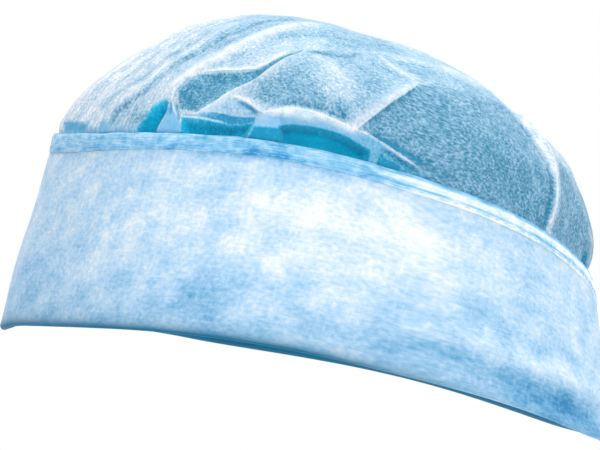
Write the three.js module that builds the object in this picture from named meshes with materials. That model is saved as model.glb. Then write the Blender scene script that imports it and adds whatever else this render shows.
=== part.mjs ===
// Disposable helmet liner: a soft nonwoven cap with a tall headband, a narrow raised seam binding
// and a thin crown that is gathered into the seam.
//
// Units are millimetres and degrees, +Z is up. The origin is the middle of the head opening, level
// with the front of the rim. The forehead faces -Y and the wearer's left is +X. "Around" is the
// angle about Z from the forehead towards +X. "Up" is the angle over the crown, from 0 at the
// binding's top edge to 90 at the apex.
import * as THREE from 'three';
import { mergeVertices } from 'three/addons/utils/BufferGeometryUtils.js';

// ---- Driving dimensions ----------------------------------------------------------------------

const SEAM_HALF_LENGTH = 98; // seam ring, forehead to nape
const SEAM_HALF_WIDTH = 80; // seam ring, ear to ear
const SQUARENESS = 2.5; // power of the seam ring's outline, 2 is an ellipse
const EGG = 0.1; // how much wider the nape half is than the forehead half

const FLARE = { front: 2, side: 13.5, back: 19 }; // how far the rim stands outside the seam ring
const SEAM = { level: 54, tilt: 8, arch: 8 }; // seam heights: mean, front over back, sides over ends
const RIM = { tilt: 1, arch: 5 };
const RIM_LIFT = { middle: 208, height: 14 }; // the rim is worn higher behind the right ear
const RIM_DIP = { middle: -32, depth: 5, reach: 24 }; // and dips at the right temple

const WALL = 1.2; // thickness of the headband and the crown
const SEWN_GAP = 0.3; // clearance between pieces that are sewn together
const HEM_HEIGHT = 14; // how far the folded hem reaches up inside the headband
const BINDING_HEIGHT = 5;
const BINDING_PROUD = 0.9; // how far the binding stands outside the headband
const SEAM_ALLOWANCE = 4; // how far the crown reaches down behind the headband

const CROWN_TOP = 129.5;
const CROWN_INSET = 1; // the dome's foot, inside the seam ring
const APEX_FORWARD = 11; // how far the apex lies in front of the middle
const ROUNDNESS = { mean: 1.8, change: 0.1 }; // power of the crown's side outline, back over front
const FOOT_PINCH_REACH = 5; // height over which the foot's pinch fades out
const NAPE_TUCK = { depth: 7, start: 3, reach: 12 }; // the nape's hollow just above the binding

const COLUMN_STEP = 6.5; // usual spacing of the columns round the cap
const TUCK_EDGE = 2.2; // width of the step at each side of a tuck
const CROWN_ROWS = [0, 2, 4.5, 7.5, 10.5, 13, 16, 20, 25, 30, 36, 42, 48, 55, 62, 70, 79, 90];

// ---- Tables of folds -------------------------------------------------------------------------

// Tucks, where the sheet is gathered in behind the binding.
// from, to: angles around; top: angle up where the tuck closes; depth: how far in it goes.
const TUCKS = [
  { from: -13, to: 3, top: 5, depth: 2.5 },
  { from: 24, to: 31.5, top: 12, depth: 5 },
  { from: 38, to: 55, top: 7, depth: 5 },
  { from: 61, to: 80, top: 10, depth: 8 },
  { from: 83, to: 92, top: 5, depth: 3 },
  ...plainTucks(),
];

// The far side is gathered in plain pleats, a tuck and a flat in turn.
function plainTucks() {
  const [first, last, pitch] = [136, 328, 24];
  const tucks = [];
  for (let from = first; from < last; from += pitch) {
    const turn = (from - first) / pitch;
    tucks.push({ from, to: from + 12 + 3 * (turn % 3), top: 7 + 2 * (turn % 2), depth: 4 });
  }
  return tucks;
}

// Creases, crests of folded cloth. through: [around, up] stations; proud: height of the crest;
// left, right: how fast the cloth falls away on each side of the way it runs.
const CREASES = [
  { through: [[-14, 4], [-3, 19], [-4, 37], [-10, 58]], proud: 1.4, left: 7, right: 7 },
  { through: [[9, 5], [18, 16], [24, 33], [26, 56]], proud: 1.4, left: 7, right: 6 },
  { through: [[24, 9], [30, 16], [36, 29], [44, 45], [54, 59], [65, 68]], proud: 2.2, left: 8, right: 5 },
  { through: [[36, 23], [53, 28], [60, 40]], proud: 1.8, left: 6, right: 5 },
  { through: [[37, 8], [47, 14], [54, 26], [60, 40]], proud: 2.6, left: 5, right: 6 },
  { through: [[47, 14], [57, 11]], proud: 2.2, left: 6, right: 3 },
  { through: [[57, 11], [63, 13.5], [72, 12], [78, 10]], proud: 3.6, left: 8, right: 3 },
  { through: [[78, 10], [85, 27], [89, 36]], proud: 2.6, left: 7, right: 6 },
  { through: [[78, 10], [84, 8.5], [91, 2]], proud: 2.6, left: 6, right: 3 },
  { through: [[60, 40], [72, 42], [82, 50], [92, 54]], proud: 1.2, left: 6, right: 6 },
  { through: [[89, 36], [86, 43], [82, 50]], proud: 1.2, left: 6, right: 6 },
  { through: [[89, 36], [106, 42], [125, 44]], proud: 1, left: 8, right: 8 },
  { through: [[130, 50], [126, 37], [123, 23], [118, 12], [118, 3]], proud: 2.6, left: 5, right: 6 },
  ...plainCreases(),
];

// On the far side one soft crease climbs from the flat after each tuck.
function plainCreases() {
  return plainTucks().map(({ to, top }, turn) => ({
    through: [[to + 3, 3], [to + 5 - 3 * (turn % 2), top + 12], [to + 8, 34 + 6 * (turn % 3)]],
    proud: 1.8,
    left: 8,
    right: 6,
  }));
}

// Puffs, broad swellings and hollows of the dome. radius: reach; proud: height, hollow if negative.
const PUFFS = [
  { around: -8, up: 38, radius: 24, proud: -1 },
  { around: 6, up: 58, radius: 26, proud: 2.2 },
  { around: 80, up: 76, radius: 24, proud: -2.4 },
  { around: 138, up: 46, radius: 26, proud: -1 },
  { around: 158, up: 16, radius: 24, proud: -0.6 },
  { around: 70, up: 26, radius: 20, proud: 2 },
  { around: 104, up: 22, radius: 26, proud: 1 },
];

// Ripples of the headband. height: share of the band's height; along, across: reach; proud: depth.
const RIPPLES = [
  { around: 112, height: 0.25, along: 34, across: 4, proud: 1.5 },
  { around: 116, height: 0.12, along: 30, across: 4, proud: -1.2 },
  { around: 92, height: 0.2, along: 10, across: 6, proud: -1 },
  { around: 40, height: 0.55, along: 40, across: 16, proud: 1 },
  { around: -30, height: 0.4, along: 30, across: 18, proud: 0.8 },
  { around: 170, height: 0.3, along: 30, across: 8, proud: 1.2 },
  { around: 230, height: 0.35, along: 34, across: 6, proud: 1.4 },
  { around: 285, height: 0.5, along: 36, across: 14, proud: 1 },
];

// ---- Small mathematics -----------------------------------------------------------------------

const { degToRad, clamp, lerp, smoothstep } = THREE.MathUtils;

const signedPower = (value, power) => Math.sign(value) * Math.abs(value) ** power;
const bell = (distance, reach) => Math.exp(-((distance / reach) ** 2));
const turnBetween = (a, b) => ((a - b + 540) % 360) - 180;

// ---- The cap's smooth form -------------------------------------------------------------------

// A point of the seam ring, and the way out from the head there.
function seamRing(around) {
  const angle = degToRad(around);
  const y = -SEAM_HALF_LENGTH * signedPower(Math.cos(angle), 2 / SQUARENESS);
  const wide = SEAM_HALF_WIDTH * (1 + (EGG * y) / SEAM_HALF_LENGTH);
  const point = new THREE.Vector2(wide * signedPower(Math.sin(angle), 2 / SQUARENESS), y);
  return { point, outward: point.clone().normalize() };
}

function flareAt(around) {
  const ends = Math.cos(degToRad(around)) ** 2;
  const end = Math.cos(degToRad(around)) > 0 ? FLARE.front : FLARE.back;
  return lerp(FLARE.side, end, ends);
}

function levelAt(around, { level = 0, tilt, arch }) {
  const angle = degToRad(around);
  return level + tilt * Math.cos(angle) + arch * (1 - Math.cos(2 * angle));
}

const seamLevel = (around) => levelAt(around, SEAM);

function rimLevel(around) {
  const near = Math.max(0, Math.cos(degToRad(around - RIM_LIFT.middle)));
  const dip = RIM_DIP.depth * bell(turnBetween(around, RIM_DIP.middle), RIM_DIP.reach);
  return levelAt(around, RIM) + RIM_LIFT.height * near ** 2 - dip;
}

// The headband's ripples, faded out at the seam.
function rippleAt(around, share) {
  const height = seamLevel(around) - rimLevel(around);
  return RIPPLES.reduce((sum, ripple) => {
    const along = degToRad(turnBetween(around, ripple.around)) * SEAM_HALF_LENGTH;
    const across = (share - ripple.height) * height;
    return sum + ripple.proud * bell(along, ripple.along) * bell(across, ripple.across);
  }, 0);
}

// A point of the band's wall. share: 0 rim, 1 seam; rise, out: millimetres up and out from there.
function wallPoint(around, share, rise, out) {
  const [low, high] = [rimLevel(around), seamLevel(around)];
  const reach = share + rise / (high - low);
  const { point, outward } = seamRing(around);
  const ripple = rippleAt(around, reach) * smoothstep(1 - reach, 0, 0.12);
  point.addScaledVector(outward, flareAt(around) * (1 - reach) + out + ripple);
  return new THREE.Vector3(point.x, point.y, lerp(low, high, reach));
}

// A point of the smooth dome, without its folds.
function domePoint(around, up) {
  const angle = degToRad(up);
  const power = ROUNDNESS.mean - ROUNDNESS.change * Math.cos(degToRad(around));
  const [across, along] = [Math.abs(Math.cos(angle)), Math.sin(angle)];
  const reach = (across ** power + along ** power) ** (-1 / power);
  const [share, climb] = [reach * across, reach * along];

  const foot = wallPoint(around, 1, BINDING_HEIGHT + SEWN_GAP, -WALL - SEWN_GAP);
  const { point, outward } = seamRing(around);
  const radius = point.length() - CROWN_INSET;
  const footPinch = radius - Math.hypot(foot.x, foot.y);
  const lift = climb * (CROWN_TOP - foot.z);
  const nape = (1 - Math.cos(degToRad(around))) / 2;
  const tuck = Math.exp(-lift / NAPE_TUCK.reach) * (1 - Math.exp(-lift / NAPE_TUCK.start));
  const pinch = footPinch * Math.exp(-lift / FOOT_PINCH_REACH) + NAPE_TUCK.depth * nape * tuck;
  const plan = outward.multiplyScalar(radius * share - pinch * Math.min(1, 4 * share));
  return new THREE.Vector3(plan.x, plan.y - APEX_FORWARD * (1 - share), foot.z + lift);
}

function domeNormal(around, up) {
  if (up > 89) return new THREE.Vector3(0, 0, 1);
  const step = 0.5;
  const sideways = domePoint(around + step, up).sub(domePoint(around - step, up));
  const upward = domePoint(around, up + step).sub(domePoint(around, Math.max(up - step, 0)));
  return sideways.cross(upward).normalize();
}

// ---- Folds -----------------------------------------------------------------------------------

const creaseLines = CREASES.map((crease) => ({
  ...crease,
  line: crease.through.map(([around, up]) => ({ around, up, at: domePoint(around, up) })),
}));

// Height of one crease at a point: highest on the crest, falling away on each side.
function creaseAt(crease, around, up, at) {
  let height = 0;
  for (let i = 1; i < crease.line.length; i += 1) {
    const [a, b] = [crease.line[i - 1], crease.line[i]];
    const run = new THREE.Vector3().subVectors(b.at, a.at);
    const way = new THREE.Vector3().subVectors(at, a.at);
    const share = clamp(way.dot(run) / run.lengthSq(), 0, 1);
    const distance = way.addScaledVector(run, -share).length();
    const turn = (b.around - a.around) * (up - a.up) - (b.up - a.up) * turnBetween(around, a.around);
    const width = turn > 0 ? crease.left : crease.right;
    height = Math.max(height, crease.proud * Math.exp(-distance / width));
  }
  return height;
}

function tuckAt(tuck, around, up) {
  const middle = (tuck.from + tuck.to) / 2;
  const half = (tuck.to - tuck.from) / 2;
  const inside = half - Math.abs(turnBetween(around, middle));
  return tuck.depth * smoothstep(inside, 0, TUCK_EDGE) * (1 - smoothstep(up, 0.55 * tuck.top, tuck.top));
}

function puffAt(puff, at) {
  return puff.proud * bell(at.distanceTo(domePoint(puff.around, puff.up)), puff.radius);
}

// How far the folded sheet stands off the smooth dome.
function foldAt(around, up) {
  const at = domePoint(around, up);
  const crest = Math.max(...creaseLines.map((crease) => creaseAt(crease, around, up, at)));
  const tuck = Math.max(...TUCKS.map((one) => tuckAt(one, around, up)));
  const puff = PUFFS.reduce((sum, one) => sum + puffAt(one, at), 0);
  return (crest + puff) * smoothstep(up, 0, 6) - tuck;
}

// ---- Solids ----------------------------------------------------------------------------------

// Turns a section into a closed ring or dome, then lets place() put each of its points. The
// section is listed from the top down its outside, and is turned in the opposite order.
function turnedSolid(name, section, colour, place) {
  const columns = columnsRound();
  const profile = [...section].reverse();
  const outline = profile.map((row, i) => new THREE.Vector2(row.onAxis ? 0 : 100 + i, i));
  const geometry = new THREE.LatheGeometry(outline, columns.length);
  const { position } = geometry.attributes;
  for (let i = 0; i < position.count; i += 1) {
    const around = columns[Math.floor(i / profile.length) % columns.length];
    const { x, y, z } = place(around, profile[i % profile.length]);
    position.setXYZ(i, x, y, z);
  }
  geometry.deleteAttribute('normal');
  geometry.deleteAttribute('uv');
  const merged = mergeVertices(geometry, 1e-3);
  merged.computeVertexNormals();
  const material = new THREE.MeshStandardMaterial({ color: colour, roughness: 0.85, metalness: 0 });
  const mesh = new THREE.Mesh(merged, material);
  mesh.name = name;
  return mesh;
}

// The columns stand on both steps of every tuck, and evenly between them. All pieces share them,
// so that the gaps between them stay even.
function columnsRound() {
  const steps = TUCKS.flatMap(({ from, to }) => [from, from + TUCK_EDGE, to - TUCK_EDGE, to]);
  const stops = steps.map((around) => (around + 360) % 360).sort((a, b) => a - b);
  return stops.flatMap((stop, i) => {
    const width = (stops[(i + 1) % stops.length] - stop + 360) % 360;
    const count = Math.max(1, Math.round(width / COLUMN_STEP));
    return Array.from({ length: count }, (_, j) => stop + (width * j) / count);
  });
}

// The headband's section: down the outside, round the curled lower fold and up the doubled hem.
function makeHeadband() {
  const outside = [1, 0.86, 0.72, 0.58, 0.46, 0.35, 0.26, 0.18, 0.11];
  const section = [
    ...outside.map((share) => ({ share, rise: share === 1 ? -SEWN_GAP : 0, out: 0 })),
    { share: 0, rise: 3, out: -0.1 },
    { share: 0, rise: 1, out: -0.9 },
    { share: 0, rise: 0, out: -2.3 },
    { share: 0, rise: 1.2, out: -3.4 },
    { share: 0, rise: HEM_HEIGHT, out: -2 * WALL },
    { share: 0, rise: HEM_HEIGHT + 2, out: -WALL },
    ...[0.46, 0.72, 1].map((share) => ({ share, rise: share === 1 ? -SEWN_GAP : 0, out: -WALL })),
  ];
  section.push(section[0]);
  const place = (around, { share, rise, out }) => wallPoint(around, share, rise, out);
  return turnedSolid('headband', section, 0xcfe4f4, place);
}

// The binding's section: a flat strip with rounded long edges.
function makeSeamBinding() {
  const [inner, outer] = [-WALL, BINDING_PROUD];
  const section = [
    { rise: BINDING_HEIGHT, out: inner },
    { rise: BINDING_HEIGHT, out: outer - 0.8 },
    { rise: BINDING_HEIGHT - 0.8, out: outer },
    { rise: 0.8, out: outer },
    { rise: 0, out: outer - 0.8 },
    { rise: 0, out: inner },
  ];
  section.push(section[0]);
  const place = (around, { rise, out }) => wallPoint(around, 1, rise, out);
  return turnedSolid('seam_binding', section, 0x9fcdec, place);
}

// The crown's section: over the outside from the apex, round the allowance and back inside.
function makeCrown() {
  const allowance = [
    { rise: BINDING_HEIGHT - 1.5, depth: 0 },
    { rise: -SEAM_ALLOWANCE, depth: 0 },
    { rise: -SEAM_ALLOWANCE, depth: WALL },
    { rise: BINDING_HEIGHT - 1.5, depth: WALL },
  ];
  const over = CROWN_ROWS.map((up) => ({ up, depth: 0, onAxis: up === 90 })).reverse();
  const under = CROWN_ROWS.map((up) => ({ up, depth: WALL, onAxis: up === 90 }));
  const place = (around, { up, rise, depth }) => {
    if (up === undefined) return wallPoint(around, 1, rise, -WALL - SEWN_GAP - depth);
    const way = up === 90 ? 0 : around; // the apex is one point
    const at = domePoint(way, up);
    return at.addScaledVector(domeNormal(way, up), foldAt(way, up) - depth);
  };
  return turnedSolid('crown', [...over, ...allowance, ...under], 0xa9d3ea, place);
}

const helmetLiner = new THREE.Group();
helmetLiner.add(makeHeadband(), makeSeamBinding(), makeCrown());

export default helmetLiner;
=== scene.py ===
"""Disposable helmet liner: its cloth, its threads and the studio it is shown in.

Sizes are in millimetres and angles in degrees until a mesh is made, which is in metres. +Z is up,
the forehead faces -Y and the wearer's left is +X. "Around" is the angle about Z from the forehead
towards +X, and "up" is the angle over the crown, from 0 at the binding's top edge to 90 at the apex.
"""

import logging
import math
from dataclasses import dataclass, field
from enum import Enum

import bmesh
import bpy
import numpy as np
from mathutils import Matrix, Vector, noise

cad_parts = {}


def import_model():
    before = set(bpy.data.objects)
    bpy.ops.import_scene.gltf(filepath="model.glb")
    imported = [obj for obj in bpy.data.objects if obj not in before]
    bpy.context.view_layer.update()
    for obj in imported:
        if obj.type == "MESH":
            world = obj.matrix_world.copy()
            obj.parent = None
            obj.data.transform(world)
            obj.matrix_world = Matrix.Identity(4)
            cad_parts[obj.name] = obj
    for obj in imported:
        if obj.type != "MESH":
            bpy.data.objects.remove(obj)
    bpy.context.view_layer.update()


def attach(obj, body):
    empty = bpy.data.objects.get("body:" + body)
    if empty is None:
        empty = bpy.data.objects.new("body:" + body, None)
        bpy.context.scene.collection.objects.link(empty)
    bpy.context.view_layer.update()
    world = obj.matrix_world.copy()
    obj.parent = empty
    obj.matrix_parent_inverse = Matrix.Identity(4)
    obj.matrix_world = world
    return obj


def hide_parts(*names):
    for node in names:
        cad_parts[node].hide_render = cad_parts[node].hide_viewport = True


logging.basicConfig(level=logging.INFO, format="%(name)s: %(message)s")
LOG = logging.getLogger("helmet_liner")

Array = np.ndarray
Station = tuple[float, float]

MM = 0.001
WALL = 1.2
SEWN_GAP = 0.3
BINDING_HEIGHT = 5.0
HEM_HEIGHT = 14.0
SHARE_HEIGHT = 60.0  # the band's usual height, for distances along a section
APEX = 90.0  # the angle up at the apex


# ---- Small mathematics -------------------------------------------------------------------------


def signed_power(value: Array, power: float) -> Array:
    """Raises the size of a value to a power and keeps its sign."""
    return np.sign(value) * np.abs(value) ** power


def bell(distance: Array, reach: float) -> Array:
    """A bell curve of height 1, down to 0.37 at its reach."""
    return np.exp(-((distance / reach) ** 2))


def ease(value: Array, low: float, high: float) -> Array:
    """A smooth step from 0 at low to 1 at high."""
    share = np.clip((value - low) / (high - low), 0.0, 1.0)
    return share * share * (3.0 - 2.0 * share)


def turn_between(a: Array, b: float) -> Array:
    """The turn from angle b to angle a, from -180 to 180 degrees."""
    return (np.asarray(a) - b + 180.0) % 360.0 - 180.0


def on_ring(around: Array, radius: Array | float, height: Array | float) -> Array:
    """Points at angles round the head, by their radius and height; the forehead faces +Y here."""
    angle = np.radians(around)
    return np.stack([radius * np.sin(angle), radius * np.cos(angle), height + 0.0 * angle], -1)


def grain(points: Array, seed: float) -> Array:
    """Smooth noise at each point.

    Args:
        points: one row of three numbers for each point, already scaled to the noise's own size.
        seed: a shift that gives a different pattern.

    Returns:
        One value from about -1 to 1 for each point.
    """
    shift = Vector((seed, 1.7 * seed, 0.3 * seed))
    return np.array([noise.noise(Vector(row) + shift) for row in points])


# ---- The cap's smooth form ---------------------------------------------------------------------


@dataclass(frozen=True)
class Ripple:
    """A long soft ripple of the headband."""

    around: float
    height: float
    along: float
    across: float
    proud: float


RIPPLES = (
    Ripple(112, 0.25, 34, 4, 1.5),
    Ripple(116, 0.12, 30, 4, -1.2),
    Ripple(92, 0.2, 10, 6, -1),
    Ripple(40, 0.55, 40, 16, 1),
    Ripple(-30, 0.4, 30, 18, 0.8),
    Ripple(170, 0.3, 30, 8, 1.2),
    Ripple(230, 0.35, 34, 6, 1.4),
    Ripple(285, 0.5, 36, 14, 1),
)


@dataclass(frozen=True)
class Cloud:
    """A lighter or darker place on the headband, its height in millimetres over the rim.

    The broad one round 80 degrees is a painted highlight of the key light, and those low on the
    band from 94 to 124 degrees are the painted light and shade of a soft fold; the rest make the
    band lighter or darker here and there.
    """

    around: float
    height: float
    along: float
    across: float
    change: float


CLOUDS = (
    # painted highlight of the key light
    Cloud(80, 42, 27, 17, 0.2),
    Cloud(62, 45, 7, 8, 0.12),
    Cloud(73, 43, 5, 6, 0.08),
    Cloud(68, 28, 4, 6, 0.1),
    Cloud(77, 19, 5, 6, 0.08),
    Cloud(90, 42, 7, 9, 0.08),
    Cloud(50, 29, 8, 3, 0.08),
    Cloud(35, 27, 6, 5, 0.06),
    Cloud(44, 54, 10, 5, 0.06),
    Cloud(8, 52, 8, 8, 0.06),
    Cloud(24, 49, 5, 8, -0.1),
    Cloud(22, 34, 4, 8, -0.06),
    Cloud(11, 25, 5, 7, -0.1),
    Cloud(-2, 18, 14, 9, -0.12),
    Cloud(44, 23, 3, 3, -0.1),
    Cloud(56, 14, 10, 9, -0.2),
    Cloud(36, 13, 8, 7, -0.1),
    Cloud(61, 25, 3, 3, -0.1),
    Cloud(80, 24, 3, 3, -0.12),
    Cloud(64, 48, 1.5, 2, -0.14),
    Cloud(99, 32, 7, 6, -0.08),
    Cloud(102, 24, 12, 5, -0.1),
    # from here to the end: painted light and shade of a soft fold low on the band
    Cloud(110, 16, 30, 1.6, 0.06),
    Cloud(94, 10, 5, 3.5, -0.1),
    Cloud(103, 8, 12, 4, -0.24),
    Cloud(100, 2.5, 6, 3, 0.08),
    Cloud(103, 16, 6, 3, -0.16),
    Cloud(111, 20, 7, 3.5, -0.22),
    Cloud(114, 3, 9, 4, -0.3),
    Cloud(124, 3, 14, 5, -0.34),
    Cloud(122, 11, 8, 4, -0.16),
)


@dataclass(frozen=True)
class CapForm:
    """The smooth form that all the pieces follow."""

    seam_half_length: float = 98.0
    seam_half_width: float = 80.0
    squareness: float = 2.5
    egg: float = 0.1
    flare_front: float = 2.0
    flare_side: float = 13.5
    flare_back: float = 19.0
    seam_mean: float = 54.0
    seam_tilt: float = 8.0
    seam_arch: float = 8.0
    rim_tilt: float = 1.0
    rim_arch: float = 5.0
    rim_lift: float = 14.0
    rim_lift_middle: float = 208.0
    rim_dip: float = 5.0
    rim_dip_middle: float = -32.0
    rim_dip_reach: float = 24.0
    crown_top: float = 129.5
    crown_inset: float = 1.0
    apex_forward: float = 11.0
    roundness: float = 1.8
    roundness_change: float = 0.1
    foot_pinch_reach: float = 5.0
    nape_tuck_depth: float = 7.0
    nape_tuck_start: float = 3.0
    nape_tuck_reach: float = 12.0

    def seam_ring(self, around: Array) -> tuple[Array, Array]:
        """The seam ring in plan.

        Args:
            around: angles round the head.

        Returns:
            The ring's points, and the way out from the head at each.
        """
        angle = np.radians(around)
        y = -self.seam_half_length * signed_power(np.cos(angle), 2.0 / self.squareness)
        wide = self.seam_half_width * (1.0 + self.egg * y / self.seam_half_length)
        point = np.stack([wide * signed_power(np.sin(angle), 2.0 / self.squareness), y], -1)
        return point, point / np.linalg.norm(point, axis=-1, keepdims=True)

    def flare(self, around: Array) -> Array:
        """How far the rim stands outside the seam ring."""
        cosine = np.cos(np.radians(around))
        end = np.where(cosine > 0, self.flare_front, self.flare_back)
        return self.flare_side + (end - self.flare_side) * cosine**2

    def level(self, around: Array, mean: float, tilt: float, arch: float) -> Array:
        """Height of a ring that tilts to the front and arches over the ears."""
        angle = np.radians(around)
        return mean + tilt * np.cos(angle) + arch * (1.0 - np.cos(2.0 * angle))

    def seam_level(self, around: Array) -> Array:
        """Height of the seam."""
        return self.level(around, self.seam_mean, self.seam_tilt, self.seam_arch)

    def rim_level(self, around: Array) -> Array:
        """Height of the rim, worn higher behind the right ear and lower at the right temple."""
        near = np.maximum(0.0, np.cos(np.radians(around - self.rim_lift_middle)))
        dip = self.rim_dip * bell(turn_between(around, self.rim_dip_middle), self.rim_dip_reach)
        return self.level(around, 0.0, self.rim_tilt, self.rim_arch) + self.rim_lift * near**2 - dip

    def ripple(self, around: Array, share: Array) -> Array:
        """How far the headband's ripples stand out, before they fade at the seam."""
        height = self.seam_level(around) - self.rim_level(around)
        total = np.zeros_like(np.asarray(around, float) + share)
        for one in RIPPLES:
            along = np.radians(turn_between(around, one.around)) * self.seam_half_length
            across = (share - one.height) * height
            total = total + one.proud * bell(along, one.along) * bell(across, one.across)
        return total

    def wall(self, around: Array, share: Array, rise: Array, out: Array) -> Array:
        """Points of the band's wall.

        Args:
            around: angles round the head.
            share: 0 at the rim, 1 at the seam.
            rise: millimetres up from there.
            out: millimetres outwards.

        Returns:
            One point for each angle.
        """
        low, high = self.rim_level(around), self.seam_level(around)
        reach = share + rise / (high - low)
        point, outward = self.seam_ring(around)
        ripple = self.ripple(around, reach) * ease(1.0 - reach, 0.0, 0.12)
        stand = self.flare(around) * (1.0 - reach) + out + ripple
        plan = point + outward * stand[..., None]
        return np.concatenate([plan, (low + (high - low) * reach)[..., None]], -1)

    def dome(self, around: Array, up: Array) -> Array:
        """Points of the smooth dome, without its folds."""
        angle = np.radians(np.clip(up, 0.0, APEX))
        power = self.roundness - self.roundness_change * np.cos(np.radians(around))
        across, along = np.abs(np.cos(angle)), np.abs(np.sin(angle))
        reach = (across**power + along**power) ** (-1.0 / power)
        share, climb = reach * across, reach * along

        rise = BINDING_HEIGHT + SEWN_GAP + 0.0 * share
        foot = self.wall(around, 1.0 + 0.0 * share, rise, -WALL - SEWN_GAP + 0.0 * share)
        point, outward = self.seam_ring(around)
        radius = np.linalg.norm(point, axis=-1) - self.crown_inset
        foot_pinch = radius - np.hypot(foot[..., 0], foot[..., 1])
        lift = climb * (self.crown_top - foot[..., 2])
        nape = (1.0 - np.cos(np.radians(around))) / 2.0
        tuck = np.exp(-lift / self.nape_tuck_reach) * (1.0 - np.exp(-lift / self.nape_tuck_start))
        pinch = foot_pinch * np.exp(-lift / self.foot_pinch_reach)
        pinch = (pinch + self.nape_tuck_depth * nape * tuck) * np.minimum(1.0, 4.0 * share)
        plan = outward * (radius * share - pinch)[..., None]
        y = plan[..., 1] - self.apex_forward * (1.0 - share)
        return np.stack([plan[..., 0], y, foot[..., 2] + lift], -1)

    def dome_frame(self, around: Array, up: Array) -> tuple[Array, Array]:
        """The dome's outward normal and its way up.

        Args:
            around: angles round the head.
            up: angles over the crown.

        Returns:
            Unit normals and unit tangents that point to the apex.
        """
        step = 0.5
        up = np.clip(up, 0.0, 89.0)
        sideways = self.dome(around + step, up) - self.dome(around - step, up)
        upward = self.dome(around, up + step) - self.dome(around, np.maximum(up - step, 0.0))
        normal = np.cross(sideways, upward)
        normal /= np.linalg.norm(normal, axis=-1, keepdims=True)
        upward /= np.linalg.norm(upward, axis=-1, keepdims=True)
        return normal, upward


# ---- The crown's folds -------------------------------------------------------------------------


@dataclass(frozen=True)
class Crease:
    """The crest of a fold.

    through are its stations, left and right how fast the cloth falls away on each side of its run,
    ends the crest's share of its height at both ends, light how white and width how wide the two
    layers of cloth and the painted highlight show on its left and right, line how sharp a painted
    highlight line the crest itself is, and lean how far the cloth rolls down over the crest.
    """

    through: tuple[Station, ...]
    proud: float
    left: float
    right: float
    ends: Station = (0.4, 0.4)
    light: float = 0.5
    width: Station = (0.8, 0.8)
    line: float = 0.0
    lean: float = 0.0
    fine: bool = True


@dataclass(frozen=True)
class Valley:
    """A line along which the sheet is drawn in, with painted shade along it, as strong as dark."""

    through: tuple[Station, ...]
    depth: float
    width: float
    dark: float


@dataclass(frozen=True)
class Patch:
    """A facet between folds, with its own amount of cloth.

    A patch with a depth is a recess, drawn in behind the binding; it stays open where its corners
    are at the binding. teal is how much painted shade of a recess or hollow it shows, and quiet how
    much smoother than elsewhere the cloth is.
    """

    corners: tuple[Station, ...]
    cover: float
    soft: float = 1.5
    depth: float = 0.0
    teal: float = 0.0
    quiet: float = 0.0
    fine: bool = True


@dataclass(frozen=True)
class Puff:
    """A broad swelling of the dome, or a hollow where proud is negative."""

    around: float
    up: float
    radius: float
    proud: float


PUFFS = (
    Puff(-8, 38, 24, -1),
    Puff(6, 58, 26, 2.2),
    Puff(80, 76, 24, -2.4),
    Puff(138, 46, 26, -1),
    Puff(158, 16, 24, -0.6),
    Puff(70, 26, 20, 2),
    Puff(104, 22, 26, 1),
    Puff(137, 33, 13, 1.8),
)

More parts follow.
